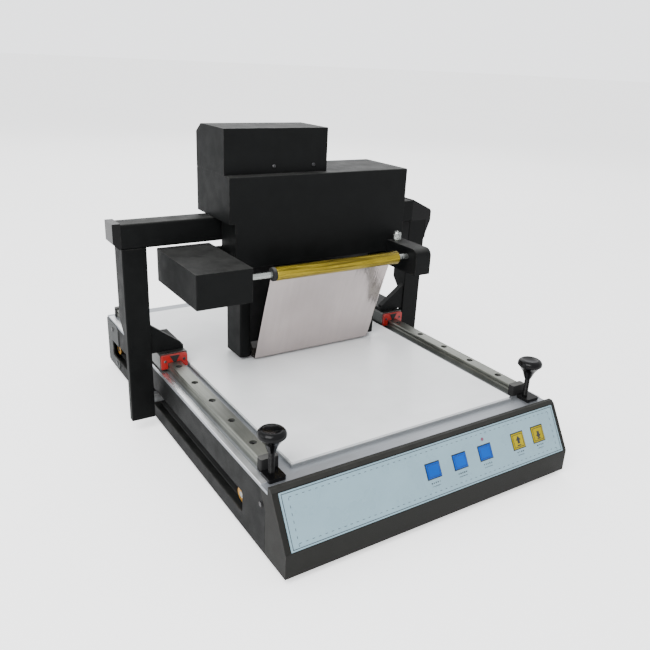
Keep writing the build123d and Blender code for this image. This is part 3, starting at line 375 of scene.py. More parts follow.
def make_finishes():
    """Every material slot's finish, by the record's slot name."""
    # The casings' paler edges: partly paint wear, partly a painted edge highlight.
    paint_wear_and_edge_highlight = linear(66, 66, 64)
    steel_light = linear(225, 226, 224)
    recipes = {
        # The casings' pale tops are partly painted sheen.
        "black_casing": dict(colour=tuple(colours().casing), roughness=0.50, grain=1500, bump=0.0002,
            mottle=0.14, wear_and_highlight=0.5, wear_and_highlight_colour=paint_wear_and_edge_highlight, dust_and_sheen=0.07, specular=0.09),
        "console_paint": dict(colour=tuple(colours().console), roughness=0.50, grain=1400, bump=0.0002,
            mottle=0.14, wear_and_highlight=0.6, wear_and_highlight_colour=paint_wear_and_edge_highlight, dust_and_sheen=0.04, specular=0.11),
        "deck_metal": dict(colour=linear(160, 164, 170), roughness=0.38, metallic=0.85, grain=500,
            mottle=0.05, streak=(5.0, 500.0, 500.0), streak_depth=0.14, dust_and_sheen=0.12),
        "machined_aluminium": dict(colour=linear(188, 190, 190), roughness=0.33, metallic=0.95,
            grain=600, mottle=0.08, streak=(8.0, 420.0, 420.0), streak_depth=0.25, wear_and_highlight=0.3,
            wear_and_highlight_colour=steel_light),
        "silicone_pad": dict(colour=tuple(colours().pad), roughness=0.32, grain=600, bump=0.00012,
            mottle=0.035, dust_and_sheen=0.10, coat=0.15),
        "rail_steel": dict(colour=linear(134, 136, 129), roughness=0.36, metallic=0.92, grain=500,
            mottle=0.18, streak=(420.0, 5.0, 420.0), streak_depth=0.30, dust_and_sheen=0.04),
        "block_steel": dict(colour=linear(84, 86, 84), roughness=0.32, metallic=0.85, grain=600,
            mottle=0.12, streak=(300.0, 8.0, 300.0), streak_depth=0.25, wear_and_highlight=0.5,
            wear_and_highlight_colour=linear(170, 172, 168)),
        "screw_steel": dict(colour=linear(66, 66, 68), roughness=0.33, metallic=0.85, grain=900,
            mottle=0.15, wear_and_highlight=0.7, wear_and_highlight_colour=linear(150, 150, 148)),
        "shaft_steel": dict(colour=linear(176, 180, 176), roughness=0.22, metallic=0.95, grain=700,
            mottle=0.1, streak=(700.0, 30.0, 30.0), streak_depth=0.3),
        "black_rubber": dict(colour=linear(28, 28, 28), roughness=0.75, grain=1300, bump=0.0003,
            mottle=0.2, dust_and_sheen=0.25, specular=0.3),
        "black_plastic": dict(colour=linear(10, 10, 11), roughness=0.17, grain=900, bump=0.00008,
            mottle=0.12, wear_and_highlight=0.3, wear_and_highlight_colour=linear(60, 60, 58), coat=0.04, specular=0.14),
        "panel_print": dict(colour=tuple(colours().panel), roughness=0.30, grain=1100, bump=0.0001,
            mottle=0.03, wear_and_highlight=0.35, wear_and_highlight_colour=linear(60, 66, 70), wear_and_highlight_radius=0.0009, dust_and_sheen=0.05),
        "blue_plastic": dict(colour=tuple(colours().blue), roughness=0.30, grain=420, bump=0.0001,
            mottle=0.16, specular=0.12, wear_and_highlight=0.9, wear_and_highlight_colour=linear(14, 60, 100), wear_and_highlight_radius=0.0012),
        "yellow_plastic": dict(colour=tuple(colours().yellow), roughness=0.32, grain=420, bump=0.0001,
            specular=0.12, mottle=0.12, wear_and_highlight=0.9, wear_and_highlight_colour=linear(90, 70, 10), wear_and_highlight_radius=0.0012),
        "led_lens": dict(colour=linear(120, 60, 84), roughness=0.12, grain=400, mottle=0.1, coat=0.8),
        "seal_red": dict(colour=tuple(colours().seal), roughness=0.36, grain=800, bump=0.0002,
            mottle=0.15, wear_and_highlight=0.4, wear_and_highlight_colour=linear(90, 20, 16), dust_and_sheen=0.10),
        "trim_metal": dict(colour=linear(232, 233, 234), roughness=0.30, metallic=0.95, grain=500,
            mottle=0.07, streak=(420.0, 6.0, 420.0), streak_depth=0.22),
        "plate_grey": dict(colour=linear(58, 60, 60), roughness=0.55, grain=1100, mottle=0.12,
            wear_and_highlight=0.5, wear_and_highlight_colour=linear(130, 130, 126), dust_and_sheen=0.05, specular=0.15),
        "ceramic_bar": dict(colour=linear(44, 41, 38), roughness=0.25, grain=900, mottle=0.12,
            coat=0.3),
        "heat_sink": dict(colour=linear(20, 20, 21), roughness=0.5, metallic=0.2, grain=900,
            mottle=0.15, wear_and_highlight=0.3, wear_and_highlight_colour=linear(70, 70, 70)),
        "brass_pulley": dict(colour=linear(206, 152, 62), roughness=0.28, metallic=0.85, grain=700,
            mottle=0.15, streak=(600.0, 20.0, 20.0), streak_depth=0.3),
        "belt_rubber": dict(colour=linear(34, 34, 34), roughness=0.7, grain=1200, bump=0.0002,
            mottle=0.2, streak=(900.0, 8.0, 8.0), streak_depth=0.4, specular=0.3),
        "panel_ink": dict(colour=linear(26, 29, 34), roughness=0.4, grain=1200, mottle=0.15),
    }
    finishes = {name: surface(name, **recipe) for name, recipe in recipes.items()}
    finishes["board_laminate"] = make_board_finish()
    finishes["gold_foil"] = make_gold_finish()
    finishes["film_carrier"] = make_film_finish()
    finishes["motor_black"] = make_motor_finish()
    return finishes


FINISHES = {}


# ---- mesh helpers ----
def add_piece(name, vertices, faces, finish, body, sharp=35.0):
    """Adds a piece with outward faces, at the origin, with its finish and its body."""
    mesh = bpy.data.meshes.new(name)
    mesh.from_pydata(np.asarray(vertices, dtype=float).tolist(), [], faces)
    shape = bmesh.new()
    shape.from_mesh(mesh)
    bmesh.ops.recalc_face_normals(shape, faces=shape.faces)
    shape.to_mesh(mesh)
    shape.free()
    mesh.polygons.foreach_set("use_smooth", np.ones(len(mesh.polygons), dtype=bool))
    mesh.set_sharp_from_angle(angle=math.radians(sharp))
    mesh.materials.append(FINISHES[finish])
    piece = bpy.data.objects.new(name, mesh)
    bpy.context.scene.collection.objects.link(piece)
    if body:
        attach(piece, body)
    return piece


def grid_faces(rows, columns, wrap_rows, wrap_columns):
    """Quads between neighbours on a grid of rows by columns of points, closed where asked."""
    row = np.arange(rows if wrap_rows else rows - 1)[:, None]
    column = np.arange(columns if wrap_columns else columns - 1)[None, :]
    next_row, next_column = (row + 1) % rows, (column + 1) % columns
    quads = np.stack([row * columns + column, row * columns + next_column,
                      next_row * columns + next_column, next_row * columns + column], axis=-1)
    return quads.reshape(-1, 4).tolist()


def closed_rings(count, segments):
    """Faces of rings stacked between two poles: the low pole is point 0 and the high pole is the last."""
    quads = (np.array(grid_faces(count, segments, False, True)) + 1).tolist()
    step = np.arange(segments)
    after = (step + 1) % segments
    last = 1 + (count - 1) * segments
    bottom = np.stack([0 * step, 1 + after, 1 + step], axis=-1).tolist()
    top = np.stack([0 * step + last + segments, last + step, last + after], axis=-1).tolist()
    return quads + bottom + top


def lathe(profile, segments, swell=None):
    """Surface of revolution about Z: each inner profile point (r, h) becomes the ring
    (r cos a, r sin a, h), with r multiplied by swell(a, h). The two end points are the poles."""
    profile = np.asarray(profile, dtype=float)
    turn = np.arange(segments)[None, :] * TAU / segments
    height = np.repeat(profile[1:-1, 1:2], segments, axis=1)
    radius = np.repeat(profile[1:-1, 0:1], segments, axis=1)
    if swell is not None:
        radius = radius * swell(turn, height)
    rings = np.stack([radius * np.cos(turn), radius * np.sin(turn), height], axis=-1).reshape(-1, 3)
    low, high = [[0, 0, profile[0, 1]]], [[0, 0, profile[-1, 1]]]
    return np.vstack([low, rings, high]), closed_rings(len(profile) - 2, segments)


def arc(centre_r, centre_h, radius, start, end, count):
    """Points (r, h) on a circular arc from one angle to another, in degrees."""
    angle = np.radians(np.linspace(start, end, count))
    return np.stack([centre_r + radius * np.cos(angle), centre_h + radius * np.sin(angle)], axis=-1)


def dense(points, step):
    """A polyline resampled so that no gap is longer than step, keeping every corner."""
    points = np.asarray(points, dtype=float)
    parts = []
    for first, second in zip(points[:-1], points[1:]):
        count = max(1, int(np.ceil(np.linalg.norm(second - first) / step)))
        parts.append(first + (second - first) * (np.arange(count) / count)[:, None])
    return np.vstack(parts + [points[-1:]])


CUBE = np.array([[-1, -1, -1], [1, -1, -1], [1, 1, -1], [-1, 1, -1],
                 [-1, -1, 1], [1, -1, 1], [1, 1, 1], [-1, 1, 1]])
CUBE_FACES = np.array([[0, 3, 2, 1], [4, 5, 6, 7], [0, 1, 5, 4], [1, 2, 6, 5], [2, 3, 7, 6], [3, 0, 4, 7]])


def blocks(centres, halves):
    """Many boxes at once: each corner is a centre plus or minus that box's half sizes."""
    centres = np.asarray(centres, dtype=float)[:, None, :]
    halves = np.asarray(halves, dtype=float)[:, None, :]
    vertices = (centres + CUBE[None] * halves).reshape(-1, 3)
    faces = (CUBE_FACES[None] + 8 * np.arange(len(centres))[:, None, None]).reshape(-1, 4)
    return vertices, faces.tolist()


def prism(outline, low, high):
    """A flat outline of (x, y) points raised from low to high."""
    outline = np.asarray(outline, dtype=float)
    count = len(outline)
    bottom = np.column_stack([outline, np.full(count, low)])
    top = np.column_stack([outline, np.full(count, high)])
    sides = grid_faces(2, count, False, True)
    return np.vstack([bottom, top]), sides + [list(range(count)), list(range(count, 2 * count))]


def join(*parts):
    """Puts several (vertices, faces) shapes into one."""
    vertices, faces, offset = [], [], 0
    for points, quads in parts:
        vertices.append(points)
        faces += [[index + offset for index in face] for face in quads]
        offset += len(points)
    return np.vstack(vertices), faces


def on_panel(points):
    """Moves points from panel axes (across, down the slope, out) to their place on the console."""
    points = np.asarray(points, dtype=float)
    along = np.array([0, PANEL_BOTTOM[0] - PANEL_TOP[0], PANEL_BOTTOM[1] - PANEL_TOP[1]])
    along = along / np.linalg.norm(along)
    out = np.array([0, along[2], -along[1]])
    start = np.array([0, PANEL_TOP[0], PANEL_TOP[1]])
    return start + points[:, 0:1] * [1, 0, 0] + points[:, 1:2] * along + points[:, 2:3] * out


def middle(node):
    """The middle of a node's box."""
    low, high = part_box(node)
    return [(a + b) / 2 for a, b in zip(low, high)]


def turn_to_x(points, centre):
    """Lays a shape made about Z along X, and moves it to its centre."""
    points = np.asarray(points)
    return np.stack([points[:, 2], points[:, 1], -points[:, 0]], axis=-1) + np.asarray(centre)


def placed(right, up, back, place):
    """The matrix of an object from its three axes and its place."""
    return Matrix([[right[i], up[i], back[i], place[i]] for i in range(3)] + [[0, 0, 0, 1]])


# ---- operators ----
class STAMPER_OT_finishes(bpy.types.Operator):
    """Give every CAD node the finish of its material slot, and round the edges of the casings and plates"""
    bl_idname = "stamper.finishes"
    bl_label = "Finishes and edges"

    casings = ("head_lower_cover", "head_upper_cover", "winder_box", "right_arm", "left_leg", "right_leg",
               "crossbeam", "beam_end_caps", "console_housing", "leg_brackets", "printhead_side_plates")
    plates = ("platen_pad", "deck_plate", "edge_trims", "rear_end_plates", "knob_blocks",
              "gantry_rails", "blue_key_left", "blue_key_middle", "blue_key_right", "yellow_key_left",
              "yellow_key_right", "power_inlet", "power_switch", "bearing_end_seals", "rubber_feet",
              "side_panels", "rear_panel", "gantry_motor", "head_motor", "lift_motors",
              "printhead_block", "thermal_bar", "belt_clamps")

    def execute(self, context):
        FINISHES.update(make_finishes())
        for part in frame["record"]["subparts"]:
            node = frame["nodes"][part["node"]]
            node.data.materials.clear()
            node.data.materials.append(FINISHES[part["material_slot"]])
        for names, width in ((self.casings, sizes().casing_edge), (self.plates, sizes().plate_edge)):
            for name in names:
                edge = frame["nodes"][name].modifiers.new("Rounded edges", "BEVEL")
                edge.width = width
                edge.segments = 2
                edge.limit_method = "ANGLE"
                edge.angle_limit = math.radians(40)
                edge.harden_normals = True
        return {"FINISHED"}


class STAMPER_OT_knobs(bpy.types.Operator):
    """Make the two corner clamping screws, with dished heads and cut threads"""
    bl_idname = "stamper.knobs"
    bl_label = "Corner knobs"

    def execute(self, context):
        dish = sizes().knob_dish
        pitch = sizes().thread_pitch
        stem_radius, tip_radius, head_height = 0.0036, 0.0031, 0.029
        for node in ("left_knob", "right_knob"):
            low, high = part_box(node)
            centre = middle(node)
            head = (high[0] - low[0]) / 2
            base, top = low[2], high[2]
            neck = top - head_height
            stem = np.vstack([
                [(0, base), (tip_radius, base)],
                dense([(stem_radius, base + 0.0006), (stem_radius, neck)], pitch / 8),
            ])
            rim = head - 0.0010
            head_side = np.vstack([
                [(0.0046, neck), (0.0050, neck + 0.0008), (0.0086, neck + 0.0105), (0.0104, neck + 0.0128)],
                [(rim - 0.0022, top - 0.0098)],
                arc(rim - 0.0030, top - 0.0070, 0.0030, -55, 0, 8),
                arc(rim - 0.0064, top - 0.0064, 0.0064, 4, 90, 16),
            ])
            # The hollow's depth: dish times cos(a)^0.8, where a goes from 0 at its middle to a quarter turn
            # at its edge.
            inner = rim - 0.0066
            run = np.linspace(inner, 0.0, 14)
            bowl = np.stack([run, top - dish * np.cos(run / inner * math.pi / 2) ** 0.8 - 0.0001], axis=-1)
            profile = np.vstack([stem, head_side, bowl])
            thread_bottom, thread_top = base + 0.001, neck - 0.0003

            def swell(angle, height):
                """Thread: a ridge that climbs one pitch a turn, on the stem only."""
                ridge = 0.055 * np.sin(TAU * height / pitch - angle)
                return 1 + ridge * (height < thread_top) * (height > thread_bottom)

            points, faces = lathe(profile, 96, swell)
            piece = add_piece(node + "_turned", points + [centre[0], centre[1], 0], faces,
                              "black_plastic", node, sharp=50)
            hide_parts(node)
        return {"FINISHED"}


class STAMPER_OT_foil_roll(bpy.types.Operator):
    """Make the wound foil on the take-up shaft, creased and slightly uneven"""
    bl_idname = "stamper.foil_roll"
    bl_label = "Foil roll"

    def execute(self, context):
        low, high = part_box("foil_roll")
        half = (high[0] - low[0]) / 2
        radius = (high[2] - low[2]) / 2 - 0.00005
        core, wound_from, turn_step = 0.0046, 0.0052, 0.0004
        steps = np.arange(wound_from, radius - 0.0006, turn_step)
        ridge = 0.00025 * (np.arange(len(steps)) % 2)
        left_end = np.stack([steps, -half + 0.0003 + ridge], axis=-1)
        right_end = np.stack([steps[::-1], half - 0.0003 - ridge[::-1]], axis=-1)
        side = dense([(radius - 0.0003, -half + 0.0002), (radius, -half + 0.0006), (radius, half - 0.0006),
                      (radius - 0.0003, half - 0.0002)], 0.0018)
        profile = np.vstack([[(0, -half + 0.001)], [(core, -half + 0.001)], left_end, side, right_end,
                             [(core, half - 0.001)], [(0, half - 0.001)]])

        def swell(angle, height):
            """Creases: two slow spirals and a finer one, together at most a sixteenth of the radius deep."""
            slow = np.sin(3 * angle + 31 * height) + np.sin(5 * angle - 57 * height + 1.3)
            fine = np.sin(9 * angle + 90 * height + 2 * np.sin(60 * height))
            return 1 - 0.012 * (2 + slow) - 0.007 * (1 + fine)

        points, faces = lathe(profile, 72, swell)
        piece = add_piece("wound_foil", turn_to_x(points, middle("foil_roll")), faces,
                          "gold_foil", "take_up_reel", sharp=40)
        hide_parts("foil_roll")
        return {"FINISHED"}


class STAMPER_OT_collar(bpy.types.Operator):
    """Make the black rubber collar beside the foil roll's left end"""
    bl_idname = "stamper.collar"
    bl_label = "Shaft collar"

    def execute(self, context):
        low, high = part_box("foil_roll")
        axis = middle("foil_roll")
        radius = (high[2] - low[2]) / 2 - 0.0003
        bore = 0.0045
        half = 0.0026
        profile = np.vstack([
            [(0, -half), (bore, -half)],
            arc(radius - 0.0008, -half + 0.0008, 0.0008, -90, 0, 6),
            arc(radius - 0.0008, half - 0.0008, 0.0008, 0, 90, 6),
            [(bore, half), (0, half)],
        ])
        points, faces = lathe(profile, 48)
        place = [low[0] - half - 0.0003, axis[1], axis[2]]
        add_piece("roll_collar", turn_to_x(points, place), faces, "black_rubber", "take_up_reel")
        return {"FINISHED"}


class STAMPER_OT_socket_shell(bpy.types.Operator):
    """Make the thin metal lining in the mouth of the data socket"""
    bl_idname = "stamper.socket_shell"
    bl_label = "Data socket shell"

    def execute(self, context):
        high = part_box("circuit_boards")[1]
        openings = frame["record"]["physics"]["openings"]
        opening = next(item for item in openings if item["name"] == "data_socket")
        (x0, _, z0), (x1, _, z1) = opening["box_m"]
        wall, sunk, depth = 0.0005, 0.0001, 0.0040
        x0, x1, z0, z1 = x0 - 0.0002, x1 + 0.0002, z0 - 0.0001, z1 + 0.0001
        back, face = high[1] - depth, high[1] - sunk
        outer = np.array([(x0 - wall, z0 - wall), (x1 + wall, z0 - wall), (x1 + wall, z1 + wall),
                          (x0 - wall, z1 + wall)])
        inner = np.array([(x0, z0), (x1, z0), (x1, z1), (x0, z1)])
        rings = [(outer, back), (outer, face), (inner, face), (inner, back)]
        points = np.vstack([np.column_stack([ring[:, 0], np.full(4, y), ring[:, 1]]) for ring, y in rings])
        add_piece("data_socket_shell", points, grid_faces(4, 4, True, True), "trim_metal", "base")
        return {"FINISHED"}


def film_route():
    """The film's line as (y, z): down behind the print bar, under it, up the front and on to the roll."""
    low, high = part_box("film_web")
    roll_low, roll_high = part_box("foil_roll")
    roll = np.array([(roll_low[1] + roll_high[1]) / 2, (roll_low[2] + roll_high[2]) / 2])
    reach = (roll_high[2] - roll_low[2]) / 2 + 0.0004
    # The film's middle is inset from its box, and it turns round the print bar at a corner and a rear bend.
    inset, front, corner, rear_bend = 0.0002, 0.0182, 0.0022, 0.003
    rear, floor = high[1] - inset, low[2] + inset
    foot = np.array([front, floor])
    span = roll - foot
    distance = np.linalg.norm(span)
    angle = math.atan2(span[1], span[0]) - math.asin(reach / distance)
    direction = np.array([math.cos(angle), math.sin(angle)])
    touch = foot + direction * math.sqrt(distance ** 2 - reach ** 2)
    start_turn = math.degrees(math.atan2(touch[1] - roll[1], touch[0] - roll[0]))
    wrap = arc(roll[0], roll[1], reach, start_turn, start_turn + FILM_WRAP, 8)
    lean = math.degrees(angle)
    bend_start = front + corner * math.tan(math.radians(lean / 2)) * 0.62
    bend = arc(bend_start, floor + corner, corner, 270, 90 + lean, 10)
    line = np.vstack([
        [(rear, high[2] - 0.002), (rear, floor + rear_bend)],
        arc(rear - rear_bend, floor + rear_bend, rear_bend, 0, -90, 8)[1:],
        bend, [touch], wrap[1:],
    ])
    return dense(line, 0.0015), touch[1]


class STAMPER_OT_film(bpy.types.Operator):
    """Make the foil film that runs under the print bar, with slack waves in its front run"""
    bl_idname = "stamper.film"
    bl_label = "Foil film"

    def execute(self, context):
        line, top = film_route()
        edge_gap, columns, front_limit = 0.0005, 110, 0.0175
        low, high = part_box("film_web")
        across = np.linspace(low[0] + edge_gap, high[0] - edge_gap, columns)
        gap = np.linalg.norm(np.diff(line, axis=0), axis=1)
        travelled = np.concatenate([[0], np.cumsum(gap)])
        heading = np.gradient(line, axis=0)
        heading /= np.linalg.norm(heading, axis=1)[:, None]
        outward = np.stack([heading[:, 1], -heading[:, 0]], axis=-1)
        in_front = (line[:, 0] < front_limit) & (line[:, 1] < top)
        rise = (line[:, 1] - line[:, 1].min()) / (top - line[:, 1].min())
        window = np.where(in_front, np.sin(np.clip(rise, 0, 1) * math.pi) ** 1.5, 0)
        # The waves: three sines of the distances across (u) and along (s), fading out at both ends.
        u = (across - across[0])[None, :]
        s = travelled[:, None]
        wave = np.sin(62 * u + 9 * s) + 0.6 * np.sin(131 * u - 14 * s + 1.1) + 0.5 * np.sin(24 * u + 38 * s)
        lift = sizes().film_ripple * window[:, None] * (wave - 0.6)
        y = line[:, 0:1] - outward[:, 0:1] * lift
        z = line[:, 1:2] - outward[:, 1:2] * lift
        x = np.repeat(across[None, :], len(line), axis=0)
        points = np.stack([x, y, z], axis=-1).reshape(-1, 3)
        faces = grid_faces(len(line), len(across), False, False)
        piece = add_piece("film_sheet", points, faces, "film_carrier", None, sharp=80)
        thick = piece.modifiers.new("Film thickness", "SOLIDIFY")
        thick.thickness = 0.00012
        thick.offset = 0
        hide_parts("film_web")
        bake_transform(piece)
        return {"FINISHED"}


class STAMPER_OT_belts(bpy.types.Operator):
    """Make the two toothed belt loops inside the base"""
    bl_idname = "stamper.belts"
    bl_label = "Toothed belts"

    def execute(self, context):
        low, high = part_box("gantry_belts")
        outer = (high[2] - low[2]) / 2
        level = (high[2] + low[2]) / 2
        front, back = low[1] + outer, high[1] - outer
        width, root, tip = 0.009, 0.0008, 0.00145
        # Each loop is two straights joined by half circles, and a tooth is four steps of the inner radius.
        straight = back - front
        pitch_radius = outer - 0.0005
        length = 2 * straight + TAU * pitch_radius
        teeth = int(length / sizes().belt_pitch)
        phase = np.array([0.0, 0.12, 0.5, 0.62])
        place = ((np.arange(teeth)[:, None] + phase[None, :]) / teeth * length).reshape(-1)
        inner_depth = np.tile([tip, tip, root, root], teeth)
        turn = math.pi * pitch_radius
        conditions = [place < straight, place < straight + turn, place < 2 * straight + turn]
        angle = np.select(conditions, [0 * place, (place - straight) / pitch_radius, 0 * place + math.pi],
                          math.pi + (place - 2 * straight - turn) / pitch_radius)
        returning = back - (place - straight - turn)
        along = np.select(conditions, [front + place, 0 * place + back, returning], front)
        normal_y, normal_z = np.sin(angle), np.cos(angle)
        edges = np.array([-width / 2, width / 2])
        inside, outside = outer - inner_depth, outer + 0 * place
        for side, name in ((low[0] + width / 2, "left_belt"), (high[0] - width / 2, "right_belt")):
            radii = np.stack([inside, outside, outside, inside], axis=1)
            x = side + np.tile([edges[0], edges[0], edges[1], edges[1]], (len(place), 1))
            y = along[:, None] + normal_y[:, None] * radii
            z = level + normal_z[:, None] * radii
            points = np.stack([x, y, z], axis=-1).reshape(-1, 3)
            piece = add_piece(name, points, grid_faces(len(place), 4, True, True), "belt_rubber", "base")
            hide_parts("gantry_belts")
        return {"FINISHED"}


def pan_head(radius, height):
    """A screw head on a polar grid about Z. Its height at radius r is h (1 - 0.98 (r / R)^2)^0.35, less
    0.45 h inside a cross."""
    count, segments = 26, 64
    run = np.linspace(1, 0, count)[:-1]
    turn = np.arange(segments) * TAU / segments
    reach = radius * np.sin(run * math.pi / 2)[:, None] + 0 * turn
    x, y = reach * np.cos(turn), reach * np.sin(turn)
    dome = height * np.sqrt(np.clip(1 - (reach / radius) ** 2 * 0.98, 0, 1)) ** 0.7
    cross = ((np.abs(x) < radius * 0.11) | (np.abs(y) < radius * 0.11)) & (reach < radius * 0.58)
    z = dome - np.where(cross, height * 0.45, 0)
    skirt = np.stack([radius * np.cos(turn), radius * np.sin(turn), 0 * turn], axis=-1)
    rings = np.concatenate([skirt[None], np.stack([x, y, z], axis=-1)]).reshape(-1, 3)
    points = np.vstack([[[0, 0, 0]], rings, [[0, 0, height * 0.55]]])
    return points, closed_rings(count, segments)


class STAMPER_OT_screws(bpy.types.Operator):
    """Make the cover screws and the knurled screw that frees the take-up shaft"""
    bl_idname = "stamper.screws"
    bl_label = "Screws"

    def execute(self, context):
        cover_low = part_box("head_upper_cover")[0]
        cover_places, cover_rise, release_height = (-0.057, 0.008), 0.010, 0.015
        heads = []
        for x in cover_places:
            points, faces = pan_head(0.0028, 0.0017)
            turned = np.stack([points[:, 0], -points[:, 2], points[:, 1]], axis=-1)
            heads.append((turned + [x, cover_low[1], cover_low[2] + cover_rise], faces))
        points, faces = join(*heads)
        covers = add_piece("cover_screw_heads", points, faces, "screw_steel", "head")
        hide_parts("head_screws")

        arm_low, arm_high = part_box("right_arm")
        top = arm_high[2] + release_height
        base = top - release_height
        ridges, climb = sizes().knurls, 5200
        profile = np.vstack([
            [(0, base), (0.0048, base), (0.0048, base + 0.0022), (0.0056, base + 0.0030)],
            dense([(0.0064, base + 0.0036), (0.0064, top - 0.0020)], 0.00028),
            [(0.0058, top - 0.0008), (0.0052, top - 0.0001), (0.0040, top), (0.0036, top - 0.0005),
             (0.0015, top - 0.0006), (0, top - 0.0006)],
        ])

        def swell(angle, z):
            """Diamond knurl: two sets of helical ridges crossing."""
            first = np.sin(ridges * angle + climb * z)
            second = np.sin(ridges * angle - climb * z)
            return 1 - 0.035 * (1 - np.maximum(first, second)) * (z > base + 0.0034) * (z < top - 0.0018)

        points, faces = lathe(profile, 180, swell)
        knob = add_piece("shaft_release_screw", points + [arm_low[0] + 0.009, -0.004, 0], faces,
                         "shaft_steel", "head")
        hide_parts("head_screws")
        return {"FINISHED"}


def frame_strips(half_width, top, bottom, line, out, ink):
    """Four thin bars round a rectangle on the panel."""
    middle_down = (top + bottom) / 2
    centres = [(0, top, out), (0, bottom, out),
               (-half_width, middle_down, out), (half_width, middle_down, out)]
    half_down = (bottom - top) / 2 + line
    halves = [(half_width + line, line, ink), (half_width + line, line, ink),
              (line, half_down, ink), (line, half_down, ink)]
    return blocks(centres, halves)


class STAMPER_OT_panel_print(bpy.types.Operator):
    """Print the control panel: border, dashed inner line, rows of plain marks, a line round each key"""
    bl_idname = "stamper.panel_print"
    bl_label = "Panel print"

    def execute(self, context):
        ink = sizes().ink
        out = OVERLAY_TOP + ink
        slope = math.dist(PANEL_TOP, PANEL_BOTTOM)
        parts = [frame_strips(PANEL_HALF_WIDTH - 0.0026, 0.0036, slope - 0.0036, 0.0004, out, ink)]
        inner_x, inner_top, inner_bottom = PANEL_HALF_WIDTH - 0.0105, 0.0085, slope - 0.0085
        dash = 0.0042
        across = np.arange(-inner_x, inner_x, 2 * dash) + dash / 2
        down = np.arange(inner_top, inner_bottom, 2 * dash) + dash / 2
        centres = np.vstack([
            np.column_stack([across, np.full(len(across), inner_top), np.full(len(across), out)]),
            np.column_stack([across, np.full(len(across), inner_bottom), np.full(len(across), out)]),
            np.column_stack([np.full(len(down), -inner_x), down, np.full(len(down), out)]),
            np.column_stack([np.full(len(down), inner_x), down, np.full(len(down), out)]),
        ])
        halves = np.vstack([np.tile([dash * 0.36, 0.00028, ink], (2 * len(across), 1)),
                            np.tile([0.00028, dash * 0.36, ink], (2 * len(down), 1))])
        parts.append(blocks(centres, halves))
        rng = np.random.default_rng(RANDOM_SEED)
        for group, rows in LABEL_ROWS:
            for _, x in group:
                for down_at, count, size in rows:
                    width = rng.uniform(0.5, 0.9, count) * size
                    place = np.linspace(-0.5, 0.5, count) * count * size * 2.3
                    upright = rng.uniform(0.55, 1.0, count) * size
                    centres = np.column_stack([x + place, down_at + 0 * place, out + 0 * place])
                    parts.append(blocks(centres, np.column_stack([width, upright, ink + 0 * place])))
        heights = [(key, 0.0088) for key in BLUE_KEYS] + [(key, 0.0100) for key in YELLOW_KEYS]
        for (_, x), half_height in heights:
            reach = half_height + 0.0009
            strips, faces = frame_strips(0.0111, -reach, reach, 0.00055, out, ink)
            parts.append((strips + [x, KEY_LEVEL, 0], faces))
        points, faces = join(*parts)
        add_piece("panel_marks", on_panel(points), faces, "panel_ink", "base")
        return {"FINISHED"}


class STAMPER_OT_key_marks(bpy.types.Operator):
    """Mark the keys: arrows on the yellow pair, a framed field on the blue three"""
    bl_idname = "stamper.key_marks"
    bl_label = "Key marks"

    def execute(self, context):
        ink = sizes().ink
        out = KEY_TOP + ink
        # The arrow's outline in millimetres, pointing up the slope.
        arrow = np.array([(0, -6.4), (4.6, -0.8), (2.2, -0.8), (2.2, 3.8), (-2.2, 3.8), (-2.2, -0.8),
                          (-4.6, -0.8)]) * MM
        for (name, x), way in zip(YELLOW_KEYS, (1, -1)):
            points, faces = prism(arrow * [1, way], out - ink, out + ink)
            foot = blocks([(0, 6.2 * MM, out)], [(3.4 * MM, 0.7 * MM, ink)])
            border = frame_strips(0.0086, -0.0083, 0.0083, 0.0004, out, ink)
            points, faces = join((points, faces), foot, border)
            add_piece(name + "_mark", on_panel(points + [x, KEY_LEVEL, 0]), faces, "panel_ink", name)
        for name, x in BLUE_KEYS:
            points, faces = frame_strips(0.0086, -0.0072, 0.0072, 0.0002, out, ink)
            add_piece(name + "_mark", on_panel(points + [x, KEY_LEVEL, 0]), faces, "panel_ink", name)
        return {"FINISHED"}


class STAMPER_OT_wipers(bpy.types.Operator):
    """Make the black wipers and screws on the faces of the bearing seals"""
    bl_idname = "stamper.wipers"
    bl_label = "Seal wipers"

    def execute(self, context):
        low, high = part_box("bearing_end_seals")
        parts, screws = [], []
        seal_width, wiper_thickness, wiper_drop, screw_rise = 0.040, 0.0009, 0.0008, 0.012
        for side in (-1, 1):
            outer = low[0] if side < 0 else high[0]
            centre = outer - side * seal_width / 2
            for y, way in ((low[1], -1), (high[1], 1)):
                top = high[2] - wiper_drop
                outline = np.array([(-0.0075, 0), (0.0075, 0), (0.0018, -0.0105), (-0.0018, -0.0105)])
                points, faces = prism(outline, 0, wiper_thickness)
                turned = np.stack([points[:, 0] + centre, y + way * points[:, 2],
                                   points[:, 1] + top], axis=-1)
                parts.append((turned, faces))
                for shift in (-0.0145, 0.0145):
                    points, faces = pan_head(0.0021, 0.0010)
                    turned = np.stack([points[:, 0] + centre + shift, y + way * points[:, 2],
                                       points[:, 1] + low[2] + screw_rise], axis=-1)
                    screws.append((turned, faces))
        points, faces = join(*parts)
        add_piece("seal_wipers", points, faces, "black_rubber", "gantry")
        points, faces = join(*screws)
        add_piece("seal_screws", points, faces, "screw_steel", "gantry")
        return {"FINISHED"}


